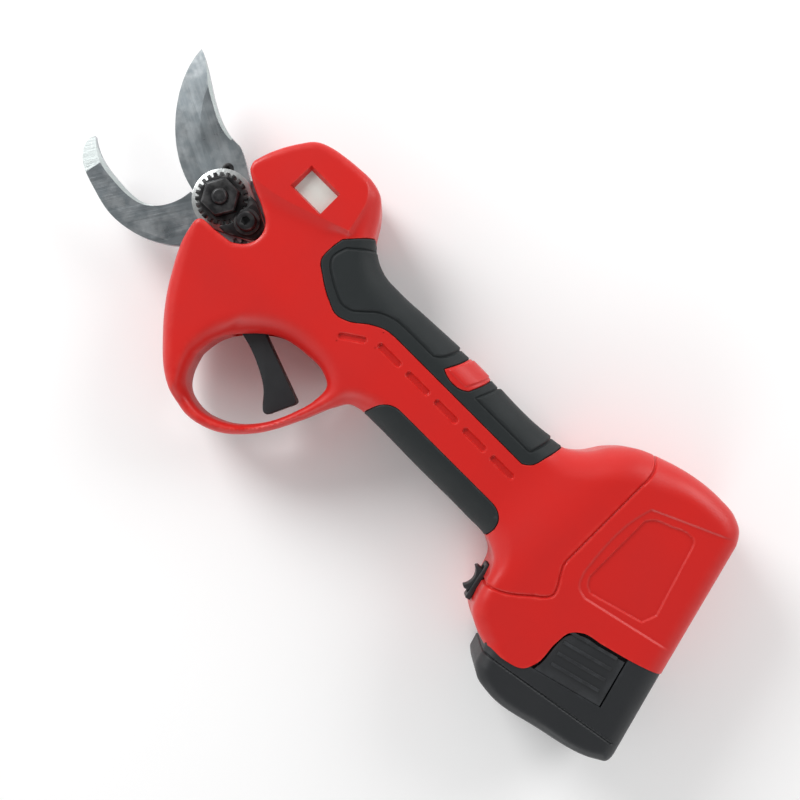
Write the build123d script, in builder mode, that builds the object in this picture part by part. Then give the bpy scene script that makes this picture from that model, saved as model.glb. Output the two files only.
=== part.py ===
from build123d import *
from math import atan2, cos, hypot, pi, radians, sin, sqrt, tan
import os

os.makedirs("parts", exist_ok=True)

# Battery electric pruner, millimetres. Plan coordinates: +X from the blades towards the battery,
# +Y towards the spine of the handle, and heights are counted from the parting plane of the two
# housing halves. The tool lies on its right side, so the left housing faces up.

# ---- driving dimensions
grip_length = 100.0          # straight handle between the head and the battery housing
shell_wall = 2.6
head_half = 19.0             # half thickness of the head
grip_half = 17.5             # half thickness of the handle
guard_half = 9.5             # half thickness of the finger guard at its far end
rubber_depth = 1.4           # how deep the overmoulded grips are let into the shells
cell_d = 18.2
cell_length = 65.0
pack_wall = 1.5
blade_thickness = 4.0
pivot_d = 8.0                # shank of the pivot bolt
thread_d = 6.0               # its threaded end
motor_d = 26.5
motor_length = 46.0
gearbox_length = 22.0
spur_module = 1.0
sector_teeth = 32            # teeth of the full circle that the blade's sector belongs to
pinion_teeth = 10
bevel_module = 1.1
bevel_teeth = 22
bevel_pinion_teeth = 11
shaft_d = 5.0
bearing_d = 9.0
screw_d = 3.0                # housing screws
trigger_pin_d = 3.0
trigger_width = 11.0

# ---- clearances
running = 0.05               # radial, shafts in bores
seat = 0.05                  # fixed pieces in their seats
free = 0.4                   # between pieces that move past each other
pack_clearance = 0.3         # each side of the battery in its bay
blade_gap = 0.1              # between the two blades

# ---- derived sizes
pivot = (0.6, 0.3)
rear_x = 57.0 + grip_length           # where the battery housing begins
cell_gap = 0.1
nest_height = cell_d + (cell_d + cell_gap) * sin(pi / 3)
pack_half = nest_height / 2 + 0.3 + pack_wall
rear_half = pack_half + pack_clearance + shell_wall
row_width = 3 * cell_d + 2 * cell_gap
pack_width = row_width + 2 * pack_wall + 0.2
battery_width = pack_width + pack_clearance + shell_wall
battery_lean = radians(14.8)          # the battery's axis leans from -Y towards +X
cover_low = blade_gap + blade_thickness + 0.2
cover_thickness = 2.0
disc_low = cover_low + cover_thickness
disc_thickness = 2.4
nut_low = disc_low + disc_thickness - 1.0
nut_height = 5.0
spur_radius = spur_module * sector_teeth / 2
pinion_radius = spur_module * pinion_teeth / 2
shaft_x = pivot[0] + spur_radius + pinion_radius
bevel_radius = bevel_module * bevel_teeth / 2
bevel_pinion_radius = bevel_module * bevel_pinion_teeth / 2
motor_height = -1.0                   # the motor's axis lies a little below the parting plane

# ---- the row's origin: under the middle of the tool, on the face it lies on
front_reach, back_reach = -52.5, rear_x + 86.7
low_reach, high_reach = -65.5, 51.2
centre_x = (front_reach + back_reach) / 2
centre_y = (low_reach + high_reach) / 2
mid = Plane(origin=(-centre_x, -centre_y, rear_half))


# ---- helpers
def place(x, y, height=0.0):
    """A point of the tool in the row's coordinates."""
    return (x - centre_x, y - centre_y, rear_half + height)


def rear(points):
    """Points of the battery housing, given from its front end, in plan coordinates."""
    return [(rear_x + x, y) for x, y in points]


def plan(*stretches):
    """A plan face: two points make a line, more a curve, and each stretch starts where the last ends."""
    with BuildSketch(mode=Mode.PRIVATE) as face:
        with BuildLine():
            for stretch in stretches:
                if len(stretch) == 2:
                    Line(*stretch)
                else:
                    Spline(*stretch)
            first, last = stretches[0][0], stretches[-1][-1]
            if hypot(first[0] - last[0], first[1] - last[1]) > 1e-6:
                Line(last, first)
        make_face()
    return face.sketch


def inward(stretches, amount):
    """The same stretches with every point moved inwards by that much."""
    loop = [point for stretch in stretches for point in stretch[:-1]]
    area = sum(a[0] * b[1] - b[0] * a[1] for a, b in zip(loop, loop[1:] + loop[:1]))
    side = 1 if area > 0 else -1
    moved = []
    for i, here in enumerate(loop):
        before, after = loop[i - 1], loop[(i + 1) % len(loop)]
        arriving = Vector(here[0] - before[0], here[1] - before[1]).normalized()
        leaving = Vector(after[0] - here[0], after[1] - here[1]).normalized()
        along = (arriving + leaving).normalized()
        step = side * amount / max(0.5, along.dot(arriving))
        moved.append((here[0] - along.Y * step, here[1] + along.X * step))
    result, start = [], 0
    for stretch in stretches:
        count = len(stretch)
        result.append([moved[(start + j) % len(moved)] for j in range(count)])
        start += count - 1
    return result


def slab(face, low, high):
    """Extrudes a plan face between two heights from the parting plane."""
    with BuildPart(mode=Mode.PRIVATE) as body:
        with BuildSketch(mid.offset(low)):
            add(face)
        extrude(amount=high - low)
    return body.part


def eased(rim, shrink):
    """The rim of a form moved inwards, never quite sharp."""
    return max(0.4, rim - shrink)


def rimmed(stretches, half, rim):
    """A slab about the parting plane whose two rims are eased in two steps."""
    levels = [(half - rim, 0.0), (half - 0.3 * rim, 0.3 * rim), (half, rim)]
    with BuildPart(mode=Mode.PRIVATE) as body:
        add(slab(plan(*stretches), -levels[0][0], levels[0][0]))
        for (low, shallow), (high, deep) in zip(levels, levels[1:]):
            for sign in (1, -1):
                with BuildSketch(mid.offset(sign * low)):
                    add(plan(*inward(stretches, shallow)))
                with BuildSketch(mid.offset(sign * high)):
                    add(plan(*inward(stretches, deep)))
                loft(ruled=True)
    return body.part


def rod(x, y, diameter, low, high):
    """A round piece along Z."""
    with BuildPart(mode=Mode.PRIVATE) as body:
        with BuildSketch(mid.offset(low)):
            with Locations((x, y)):
                Circle(diameter / 2)
        extrude(amount=high - low)
    return body.part


def block(x0, x1, y0, y1, low, high):
    """A box between plan limits and heights."""
    with BuildPart(mode=Mode.PRIVATE) as body:
        with BuildSketch(mid.offset(low)):
            with Locations(((x0 + x1) / 2, (y0 + y1) / 2)):
                Rectangle(x1 - x0, y1 - y0)
        extrude(amount=high - low)
    return body.part


def across(x, y, height, diameter, length):
    """A round piece along X that starts at that point."""
    with BuildPart(mode=Mode.PRIVATE) as body:
        with BuildSketch(Plane(origin=place(x, y, height), x_dir=(0, 1, 0), z_dir=(1, 0, 0))):
            Circle(diameter / 2)
        extrude(amount=length)
    return body.part


def involute_outline(module, teeth, backlash, addendum=1.0, dedendum=1.15):
    """Plan points of a spur gear about the origin, with one tooth centred on +X."""
    pitch = module * teeth / 2
    base = pitch * cos(radians(20))
    outer, root = pitch + addendum * module, pitch - dedendum * module
    start = max(base, root + 0.01)
    half_tooth = (pi * module / 2 - backlash) / (2 * pitch)

    def flank(radius):
        roll = sqrt((radius / base) ** 2 - 1)
        at_pitch = sqrt((pitch / base) ** 2 - 1)
        return half_tooth - ((roll - atan2(roll, 1)) - (at_pitch - atan2(at_pitch, 1)))

    radii = [start + (outer - start) * step / 4 for step in range(5)]
    tooth = [(root, -flank(start) - 0.02)] + [(r, -flank(r)) for r in radii]
    tooth += [(r, -angle) for r, angle in reversed(tooth)]
    points = []
    for n in range(teeth):
        turn = 2 * pi * n / teeth
        points += [(r * cos(turn + angle), r * sin(turn + angle)) for r, angle in tooth]
    return points


def gear_face(module, teeth, backlash, turn=0.0, scale=1.0):
    """A spur gear's face about the origin, turned by degrees and scaled."""
    points = involute_outline(module, teeth, backlash)
    with BuildSketch(mode=Mode.PRIVATE) as face:
        with BuildLine():
            Polyline(*[(x * scale, y * scale) for x, y in points], close=True)
        make_face()
    return face.sketch.rotate(Axis.Z, turn)


def keep_side(body, upper):
    """The half of a body on one side of the parting plane."""
    with BuildPart(mode=Mode.PRIVATE) as half:
        add(body)
        split(bisect_by=mid, keep=Keep.TOP if upper else Keep.BOTTOM)
    return half.part


# ---- outlines of the housing
head_front = [(1.5, 18), (4, 26), (8, 33.5), (12, 38.8), (20, 42)]
head_top = [(20, 42), (30, 43.2), (37, 43.3), (42, 41.8), (47, 36.6), (52, 29), (57, 24.5), (63, 22),
            (72, 21.4)]
guard_outer = [(96, -17.6), (88, -19.8), (84, -25.5), (79, -37), (70, -53), (60, -62), (47, -65.5),
               (35, -62), (20, -50), (8, -33), (2, -20), (1, -12.5)]
notch_low = [(1, -12.5), (1.5, -11), (9, -9.5)]
notch_end = [(9, -9.5), (17, -8), (21, -4), (22, 0), (20, 5), (16, 7.7)]
notch_high = [(16, 7.7), (6, 12.6), (2.5, 15.2), (1.5, 18)]
front_outline = [head_front, head_top, [(72, 21.4), (96, 22)], [(96, 22), (96, -17.6)], guard_outer,
                 notch_low, notch_end, notch_high]
loop_outline = [[(34.5, -46.5), (36, -37), (42, -28.6), (52, -20.6), (64, -18.2), (74, -18.8), (78, -23)],
                [(78, -23), (77, -31.5), (70, -47), (60, -57.2), (49.5, -60.6), (39.5, -57.5),
                 (34.5, -46.5)]]
head_core = [head_front, head_top, [(72, 21.4), (72, -18.2)],
             [(72, -18.2), (64, -18.2), (52, -20.6), (42, -28.6), (36, -37), (34.5, -44)],
             [(34.5, -44), (20, -50)], [(20, -50), (8, -33), (2, -20), (1, -11.5)],
             [(1, -11.5), (17, -8), (21, -4), (22, 0), (20, 5), (16, 7.7)], [(16, 7.7), (1.5, 18)]]
grip_outline = [[(60, 22.8), (70, 21.4), (85, 22), (rear_x - 50, 23), (rear_x - 9, 23.3), (rear_x - 2, 24.6),
                 (rear_x + 6, 31)],
                [(rear_x + 6, 31), (rear_x + 24, 31)], [(rear_x + 24, 31), (rear_x + 24, -26)],
                [(rear_x + 24, -26), (rear_x + 7, -21.6), (rear_x, -18.6), (rear_x - 10, -18.4),
                 (100, -18.4), (88, -18.4)], [(88, -18.4), (60, -15)], [(60, -15), (60, 22.8)]]
rear_outline = [rear([(4, 29), (10, 37.5), (16, 42.6), (26, 47), (38, 50.2), (50, 51.2), (58, 50.4),
                      (63, 48.2), (66.3, 43)]),
                rear([(66.3, 43), (79.6, -8.5)]),
                rear([(79.6, -8.5), (70.5, -12), (55, -16.4), (47, -18.2), (43.5, -21.5), (42.5, -28),
                      (43, -38)]),
                rear([(43, -38), (40, -42.8), (30, -45.2), (20, -44.3), (13, -40), (11, -32), (8, -23),
                      (4, -19.2)]),
                rear([(4, -19.2), (4, 29)])]
front_profile = [(-70, guard_half - 1), (-60, guard_half), (-14, head_half - 0.6), (8, head_half),
                 (30, head_half - 1.2), (50, head_half - 4)]


def front_part(stretches, shrink):
    """Head and guard region: a rimmed slab cut to the thickness that falls towards the guard."""
    upper = [(y, z - shrink) for y, z in front_profile]
    lower = [(y, -z) for y, z in reversed(upper)]
    with BuildPart(mode=Mode.PRIVATE) as body:
        add(rimmed(stretches, head_half - shrink, eased(3.0, shrink)))
        with BuildSketch(Plane(origin=place(-20, 0), x_dir=(0, 1, 0), z_dir=(1, 0, 0))):
            Polygon(*upper, *lower, align=None)
        extrude(amount=130, mode=Mode.INTERSECT)
    return body.part


def tool_form(shrink, front_stretches):
    """The whole tool's form, moved inwards everywhere by one amount."""
    with BuildPart(mode=Mode.PRIVATE) as body:
        add(front_part(inward(front_stretches, shrink), shrink))
        add(rimmed(inward(grip_outline, shrink), grip_half - shrink, eased(8.0, shrink)))
        add(rimmed(inward(rear_outline, shrink), rear_half - shrink, eased(7.0, shrink)))
    return body.part


# ---- battery directions: out of the bay, and from the back wall inwards
out_dir = (sin(battery_lean), -cos(battery_lean))
in_dir = (-cos(battery_lean), -sin(battery_lean))
back_corner = (rear_x + 79.5, -8.8)


def at_pack(inwards, out):
    """Plan point given from the back corner of the bay: inwards from the back wall, and outwards."""
    return (back_corner[0] + in_dir[0] * inwards + out_dir[0] * out,
            back_corner[1] + in_dir[1] * inwards + out_dir[1] * out)


def pack_face(v0, v1, u0, u1):
    """A rectangle in the battery's directions, between two depths and two reaches."""
    corners = [at_pack(v0, u0), at_pack(v1, u0), at_pack(v1, u1), at_pack(v0, u1)]
    return plan(*[[a, b] for a, b in zip(corners, corners[1:] + corners[:1])])


def polygon(*points):
    """A plan face with straight sides."""
    return plan(*[[a, b] for a, b in zip(points, points[1:] + points[:1])])


def disc(x, y, radius):
    """A round plan face."""
    with BuildSketch(mode=Mode.PRIVATE) as face:
        with Locations((x, y)):
            Circle(radius)
    return face.sketch


def grown(face, amount):
    """A plan face with its border moved outwards."""
    with BuildSketch(mode=Mode.PRIVATE) as larger:
        add(face)
        offset(amount=amount, kind=Kind.ARC)
    return larger.sketch


# ---------------------------------------------------------------- blades and pivot
sweep = 62.0                                    # the moving blade's travel, degrees
sector_from, sector_to = 10.0, -sweep - 12.0    # its teeth, as angles about the pivot at rest
hook_face = plan(
    [(-51.5, -16.5), (-44, -20.5), (-33.5, -22.2), (-25, -22.3), (-18, -20), (-13.5, -14.5), (-11.2, -6)],
    [(-11.2, -6), (0, -8), (8, -19.5)],
    [(8, -19.5), (0.5, -23)],
    [(0.5, -23), (-8, -29), (-18, -32.5), (-28.5, -33), (-38.5, -30.5), (-48, -26.5), (-51.2, -23),
     (-52.5, -18.5)],
    [(-52.5, -18.5), (-51.5, -16.5)])
blade_screw_points = [(7, -16), (9, 13)]
tail_face = polygon((0, -11), (7, -20), (shaft_x, -6.4), (shaft_x, 6.4), (9, 16.5), (0, 11.8))
fixed_face = hook_face + disc(*pivot, 11.5) + tail_face + disc(shaft_x, pivot[1], bearing_d / 2 + 2)
with BuildPart() as fixed_blade:
    add(slab(fixed_face, -blade_thickness, 0))
    add(rod(*pivot, pivot_d + 2 * seat, -blade_thickness, 0), mode=Mode.SUBTRACT)
    add(rod(shaft_x, pivot[1], bearing_d + 2 * seat, -blade_thickness, 0), mode=Mode.SUBTRACT)
    for x, y in blade_screw_points:
        add(rod(x, y, screw_d, -blade_thickness, -0.6), mode=Mode.SUBTRACT)
fixed_blade.part.label = "fixed_blade"
export_step(fixed_blade.part, "parts/fixed_blade.step")

edge_face = plan(
    [(-45, 34.5), (-44.3, 29), (-39, 16.5), (-31, 6.5), (-17.5, -2.8), (-9.5, -5.2)],
    [(-9.5, -5.2), (4, 4)], [(4, 4), (9, 8)], [(9, 8), (1, 13.4), (-4.5, 16.8), (-9, 18.9)],
    [(-9, 18.9), (-16, 19.4), (-28, 24.5), (-38, 30.8), (-45, 34.5)])
wedge_points = [pivot] + [(pivot[0] + 30 * cos(radians(a)), pivot[1] + 30 * sin(radians(a)))
                          for a in (sector_from, -20, -45, sector_to)]
dowel_point, dowel_d = (-6.3, 9.8), 4.4
spur_backlash = 0.16
sector_face = gear_face(spur_module, sector_teeth, spur_backlash).translate((*pivot, 0))
sector_face = sector_face & polygon(*wedge_points)
with BuildPart() as moving_blade:
    add(slab(edge_face + disc(*pivot, 11.2) + sector_face, blade_gap, blade_gap + blade_thickness))
    add(rod(*pivot, pivot_d + 2 * running, blade_gap, blade_gap + blade_thickness), mode=Mode.SUBTRACT)
    add(rod(*dowel_point, dowel_d, blade_gap, blade_gap + blade_thickness), mode=Mode.SUBTRACT)
moving_blade.part.label = "moving_blade"
export_step(moving_blade.part, "parts/moving_blade.step")

dowel_top = blade_gap + blade_thickness + 0.1
with BuildPart() as blade_dowel:
    add(rod(*dowel_point, dowel_d - 2 * seat, blade_gap, dowel_top))
    add(rod(*dowel_point, 1.8, dowel_top - 0.8, dowel_top), mode=Mode.SUBTRACT)
blade_dowel.part.label = "blade_dowel"
export_step(blade_dowel.part, "parts/blade_dowel.step")

# cover plate: a round end about the pivot that tapers to a nose at the head of the notch
nose = (pivot[0] + 15.6, pivot[1] + 0.2)
plate_radius = 11.4
nose_radius = 5.0
with BuildSketch() as plate_sketch:
    with Locations(pivot):
        Circle(plate_radius)
    with Locations(nose):
        Circle(nose_radius)
    make_hull()
plate_face = plate_sketch.sketch
lock_screw_point = (pivot[0] + 13.1, pivot[1] + 0.4)
with BuildPart() as cover_plate:
    add(slab(plate_face, cover_low, disc_low))
    add(rod(*pivot, thread_d + 2 * seat, cover_low, disc_low), mode=Mode.SUBTRACT)
    add(rod(*lock_screw_point, 4, cover_low, disc_low), mode=Mode.SUBTRACT)
cover_plate.part.label = "cover_plate"
export_step(cover_plate.part, "parts/cover_plate.step")

nut_flats = 12.6
disc_teeth = 24
with BuildPart() as lock_disc:
    with BuildSketch(mid.offset(disc_low)):
        with Locations(pivot):
            Circle(8.3)
            with PolarLocations(8.7, disc_teeth):
                Rectangle(2.0, 1.35)
    extrude(amount=disc_thickness)
    with BuildSketch(mid.offset(nut_low)):
        with Locations(pivot):
            RegularPolygon(nut_flats / 2 + seat, 6, major_radius=False)
    extrude(amount=5, mode=Mode.SUBTRACT)
    add(rod(*pivot, thread_d + 2 * seat, disc_low, nut_low), mode=Mode.SUBTRACT)
lock_disc.part.label = "lock_disc"
export_step(lock_disc.part, "parts/lock_disc.step")

with BuildPart() as pivot_nut:
    with BuildSketch(mid.offset(nut_low)):
        with Locations(pivot):
            RegularPolygon(nut_flats / 2, 6, major_radius=False)
            Circle(thread_d / 2 + seat, mode=Mode.SUBTRACT)
    extrude(amount=nut_height)
    chamfer(pivot_nut.faces().sort_by(Axis.Z)[-1].outer_wire().edges(), 0.6)
pivot_nut.part.label = "pivot_nut"
export_step(pivot_nut.part, "parts/pivot_nut.step")

case_low = -14.8
bolt_end = nut_low + nut_height + 1.6
with BuildPart() as pivot_bolt:
    add(rod(*pivot, 13, case_low - 3.4, case_low))
    add(rod(*pivot, pivot_d, case_low, blade_gap + blade_thickness + 0.1))
    add(rod(*pivot, thread_d, 0, bolt_end))
    chamfer(pivot_bolt.faces().sort_by(Axis.Z)[-1].edges(), 0.8)
    with BuildSketch(mid.offset(case_low - 3.4)):
        with Locations(pivot):
            RegularPolygon(3, 6)
    extrude(amount=2, mode=Mode.SUBTRACT)
pivot_bolt.part.label = "pivot_bolt"
export_step(pivot_bolt.part, "parts/pivot_bolt.step")

tab_low, tab_high = disc_low, disc_low + disc_thickness
with BuildSketch() as tab_sketch:
    with Locations(nose):
        Circle(nose_radius - 0.5)
    with Locations((pivot[0] + 8.4, pivot[1])):
        Rectangle(3, 16.4)
    make_hull()
tab_face = tab_sketch.sketch - disc(*pivot, 9.8)
with BuildPart() as lock_tab:
    add(slab(tab_face, tab_low + 0.05, tab_high))
    add(slab(disc(*lock_screw_point, 4.9), tab_high, tab_high + 1.2))
    add(rod(*lock_screw_point, 4 + 2 * seat, tab_low, tab_high + 2), mode=Mode.SUBTRACT)
lock_tab.part.label = "lock_tab"
export_step(lock_tab.part, "parts/lock_tab.step")

screw_seat = tab_high + 1.2
with BuildPart() as lock_screw:
    add(rod(*lock_screw_point, 4 - 2 * seat, cover_low, screw_seat))
    add(rod(*lock_screw_point, 7.4, screw_seat, screw_seat + 3.2))
    chamfer(lock_screw.faces().sort_by(Axis.Z)[-1].edges(), 0.5)
    with BuildSketch(mid.offset(screw_seat + 1.2)):
        with Locations(lock_screw_point):
            RegularPolygon(1.75, 6)
    extrude(amount=3, mode=Mode.SUBTRACT)
lock_screw.part.label = "lock_screw"
export_step(lock_screw.part, "parts/lock_screw.step")


# ---------------------------------------------------------------- drive
def bevel(teeth, mate, face_width, bore, hub, where):
    """A bevel gear whose cone's point is the origin of the plane, facing along it."""
    cone = atan2(teeth, mate)
    radius = bevel_module * teeth / 2
    length = radius / sin(cone)
    taper = (length - face_width) / length
    backlash = 0.45
    top, root, lean = 0.8 * bevel_module, 1.05 * bevel_module, tan(radians(24))
    half = (pi * bevel_module / 2 - backlash) / 2
    outline = [(-half - root * lean, -root - 0.3), (half + root * lean, -root - 0.3),
               (half + root * lean, -root), (half - top * lean, top), (-half + top * lean, top),
               (-half - root * lean, -root)]
    rim = (length * sin(cone), length * cos(cone))
    inner = (rim[0] * taper, rim[1] * taper)
    drop = (cos(cone) * root, -sin(cone) * root)
    blank = [(bore / 2, inner[1] - drop[1] * taper),
             (inner[0] - drop[0] * taper, inner[1] - drop[1] * taper),
             (rim[0] - drop[0], rim[1] - drop[1]), (rim[0] - drop[0], rim[1] - drop[1] + 1.2),
             (bore / 2 + 3, rim[1] + hub), (bore / 2, rim[1] + hub)]
    with BuildPart(mode=Mode.PRIVATE) as gear:
        with BuildSketch(Plane.XZ):
            Polygon(*blank, align=None)
        revolve(axis=Axis.Z)
        for n in range(teeth):
            spin = 2 * pi * n / teeth
            toward = Vector(-sin(cone) * cos(spin), -sin(cone) * sin(spin), -cos(cone))
            side = Vector(-sin(spin), cos(spin), 0)
            start = Vector(rim[0] * cos(spin), rim[0] * sin(spin), rim[1])
            for depth, scale in ((0, 1.0), (face_width, taper)):
                with BuildSketch(Plane(origin=start + toward * depth, x_dir=side, z_dir=toward)):
                    Polygon(*[(x * scale, y * scale) for x, y in outline], align=None)
            loft(ruled=True)
    return where.location * gear.part


gear_point = place(shaft_x, pivot[1], motor_height)
gear_face_width = 4.0
with BuildPart() as bevel_gear:
    add(bevel(bevel_teeth, bevel_pinion_teeth, gear_face_width, shaft_d + 2 * seat, 4.2,
              Plane(origin=gear_point, x_dir=(1, 0, 0), z_dir=(0, 0, -1))))
bevel_gear.part.label = "bevel_gear"
export_step(bevel_gear.part, "parts/bevel_gear.step")

with BuildPart() as bevel_pinion:
    add(bevel(bevel_pinion_teeth, bevel_teeth, gear_face_width, shaft_d + 2 * seat, 1.8,
              Plane(origin=gear_point, x_dir=(0, 0, 1), z_dir=(1, 0, 0))))
bevel_pinion.part.label = "bevel_pinion"
export_step(bevel_pinion.part, "parts/bevel_pinion.step")

pinion_face = gear_face(spur_module, pinion_teeth, spur_backlash, 180 / pinion_teeth)
pinion_face = pinion_face.translate((shaft_x, pivot[1], 0))
with BuildPart() as pinion_shaft:
    add(slab(pinion_face, blade_gap, blade_gap + blade_thickness - 0.1))
    add(rod(shaft_x, pivot[1], shaft_d, case_low + 0.3, blade_gap))
pinion_shaft.part.label = "pinion_shaft"
export_step(pinion_shaft.part, "parts/pinion_shaft.step")

flange_x = shaft_x + bevel_radius + 2.8
with BuildPart() as output_shaft:
    add(across(flange_x - 5.5, pivot[1], motor_height, shaft_d, 11))
output_shaft.part.label = "output_shaft"
export_step(output_shaft.part, "parts/output_shaft.step")

with BuildPart() as bearings:
    for low, high in ((case_low, case_low + 2.6), (-blade_thickness, -0.3)):
        add(rod(shaft_x, pivot[1], bearing_d, low, high))
        add(rod(shaft_x, pivot[1], shaft_d + 2 * running, low, high), mode=Mode.SUBTRACT)
    add(across(flange_x, pivot[1], motor_height, bearing_d, 3))
    add(across(flange_x, pivot[1], motor_height, shaft_d + 2 * running, 3), mode=Mode.SUBTRACT)
bearings.part.label = "bearings"
export_step(bearings.part, "parts/bearings.step")

case_face = (disc(*pivot, 11.2) + disc(shaft_x, pivot[1], bevel_radius + 2.4)
             + polygon((0, -10.8), (shaft_x, -14), (shaft_x, 14.6), (0, 11.4))
             + polygon((2, -10), (12, -10), (10.8, -16), (3.2, -16))
             + disc(*blade_screw_points[0], 3.8) + disc(*blade_screw_points[1], 3.8))
motor_axis_y = pivot[1]
with BuildPart() as gear_case:
    add(slab(case_face, case_low, -blade_thickness - 0.3))
    for y in (motor_axis_y - bevel_radius - 2.4, motor_axis_y + bevel_radius - 0.2):
        add(block(shaft_x - 4, flange_x + 1, y, y + 2.6, case_low, -blade_thickness - 0.3))
    add(across(flange_x, motor_axis_y, motor_height, motor_d, 3))
    add(block(shaft_x, flange_x + 1, motor_axis_y - 8, motor_axis_y + 8, case_low, case_low + 2.6))
    add(rod(shaft_x, pivot[1], 2 * bevel_radius + 2.6, case_low + 2.6, 0), mode=Mode.SUBTRACT)
    add(block(shaft_x + 4, flange_x, motor_axis_y - 9, motor_axis_y + 9, case_low + 2.6, 0),
        mode=Mode.SUBTRACT)
    add(rod(shaft_x, pivot[1], bearing_d + 2 * seat, case_low, 0), mode=Mode.SUBTRACT)
    add(rod(*pivot, pivot_d + 2 * seat, case_low, 0), mode=Mode.SUBTRACT)
    add(across(flange_x, motor_axis_y, motor_height, bearing_d + 2 * seat, 3), mode=Mode.SUBTRACT)
    for x, y in blade_screw_points:
        add(rod(x, y, screw_d + 0.4, case_low, 0), mode=Mode.SUBTRACT)
        add(rod(x, y, 5.8, case_low, case_low + 2), mode=Mode.SUBTRACT)
gear_case.part.label = "gear_case"
export_step(gear_case.part, "parts/gear_case.step")

with BuildPart() as blade_screws:
    for x, y in blade_screw_points:
        add(rod(x, y, screw_d - 2 * seat, case_low + 1, -0.7))
        add(rod(x, y, 5.4, case_low + 0.1, case_low + 2))
blade_screws.part.label = "blade_screws"
export_step(blade_screws.part, "parts/blade_screws.step")

with BuildPart() as gearbox:
    add(across(flange_x + 3.05, motor_axis_y, motor_height, motor_d, gearbox_length))
    add(across(flange_x + 3, motor_axis_y, motor_height, shaft_d + 0.4, 3.2), mode=Mode.SUBTRACT)
gearbox.part.label = "gearbox"
export_step(gearbox.part, "parts/gearbox.step")

motor_x = flange_x + 3.1 + gearbox_length
with BuildPart() as motor:
    add(across(motor_x, motor_axis_y, motor_height, motor_d, motor_length))
    add(across(motor_x + motor_length, motor_axis_y, motor_height, 10, 2))
    chamfer(motor.edges().filter_by(GeomType.CIRCLE).sort_by(Axis.X)[1:3], 0.8)
motor.part.label = "motor"
export_step(motor.part, "parts/motor.step")

# ---------------------------------------------------------------- trigger
trigger_pin = (41.5, -20.5)
trigger_travel = 12.0
trigger_face = plan(
    [(46.5, -19), (47, -23.7)], [(47, -23.7), (71.8, -32.8)], [(71.8, -32.8), (73, -33.6), (73, -35)],
    [(73, -35), (69.3, -43)], [(69.3, -43), (68.2, -44.6), (66.6, -44.6)],
    [(66.6, -44.6), (64.5, -42.6), (62.3, -40), (59.3, -37.4), (54.5, -34.6), (49, -32.1), (44, -30.5),
     (40, -29.6)],
    [(40, -29.6), (37.6, -24.5)],
    [(37.6, -24.5), (37.5, -20), (40.5, -16.6), (46.5, -19)])
with BuildPart() as trigger:
    add(slab(trigger_face, -trigger_width / 2, trigger_width / 2))
    add(rod(*trigger_pin, trigger_pin_d + 2 * running, -trigger_width, trigger_width), mode=Mode.SUBTRACT)
trigger.part.label = "trigger"
export_step(trigger.part, "parts/trigger.step")

pin_reach = trigger_width / 2 + 6
with BuildPart() as trigger_pin_rod:
    add(rod(*trigger_pin, trigger_pin_d, -pin_reach, pin_reach))
trigger_pin_rod.part.label = "trigger_pin"
export_step(trigger_pin_rod.part, "parts/trigger_pin.step")

spring_low = trigger_width / 2 + 0.5
wire_d = 0.8
with BuildPart() as trigger_spring:
    for turn in range(3):
        middle = place(*trigger_pin, spring_low + wire_d / 2 + turn)
        with BuildSketch(Plane(origin=middle, x_dir=(1, 0, 0), z_dir=(0, -1, 0))):
            with Locations((2.6, 0)):
                Circle(wire_d / 2)
        revolve(axis=Axis(place(*trigger_pin), (0, 0, 1)))
trigger_spring.part.label = "trigger_spring"
export_step(trigger_spring.part, "parts/trigger_spring.step")

with BuildPart() as sensor_board:
    add(block(47, 54, -16.4, -15.2, -5, 5))
    add(block(49, 53, -15.2, -14, -2, 2))
sensor_board.part.label = "trigger_sensor_board"
export_step(sensor_board.part, "parts/trigger_sensor_board.step")

# ---------------------------------------------------------------- battery
tongue_v = (shell_wall + pack_clearance, shell_wall + pack_clearance + pack_width)
cap_thickness = 7.0             # the base under the cells, rounded off at its inner corner
pack_top = -37.5
pack_bottom = pack_top + cell_length + pack_wall + 2.5 + cap_thickness
seam_left, seam_right = pack_bottom - 13.5, pack_bottom - 8.5
exposed_top = [(79.65, -9.4), (70.8, -12.7), (55.3, -17.1), (47.6, -18.9), (44.2, -22), (43.3, -28.4),
               (43.8, -38)]
exposed_edge = [rear(exposed_top), rear([(43.8, -38), (41.2, -43.4), (34, -45.6), (28, -46.2)])]
cap_line = [at_pack(battery_width, seam_left), at_pack(0, seam_right)]
case_face_outline = exposed_edge + [
    [rear([(28, -46.2)])[0], at_pack(battery_width, seam_left - 1.9)],
    [at_pack(battery_width, seam_left - 1.9), at_pack(battery_width, seam_left)], cap_line,
    [at_pack(0, seam_right), rear(exposed_top)[0]]]
cap_outline = [
    cap_line,
    [at_pack(0, seam_right), at_pack(0, pack_bottom - 4.2)],
    [at_pack(0, pack_bottom - 4.2), at_pack(1.4, pack_bottom - 1.2), at_pack(5, pack_bottom - 0.2),
     at_pack(30, pack_bottom + 0.6), at_pack(52, pack_bottom - 2.0), at_pack(58, pack_bottom - 3.6),
     at_pack(battery_width - 0.2, pack_bottom - 7)],
    [at_pack(battery_width - 0.2, pack_bottom - 7), at_pack(battery_width, seam_left)]]
face_half = rear_half - 0.1
inner_half = pack_half - pack_wall
cell_room = pack_face(tongue_v[0] + pack_wall, tongue_v[1] - pack_wall,
                      pack_top + pack_wall, pack_bottom - cap_thickness)
latch_v = (15.0, 43.5)
latch_u = (-1.0, 21.0)
latch_depth = 1.4
latch_pocket = pack_face(latch_v[0] - 1.2, latch_v[1] + 1.2, latch_u[0] - 14, latch_u[1] + 0.3)
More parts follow.
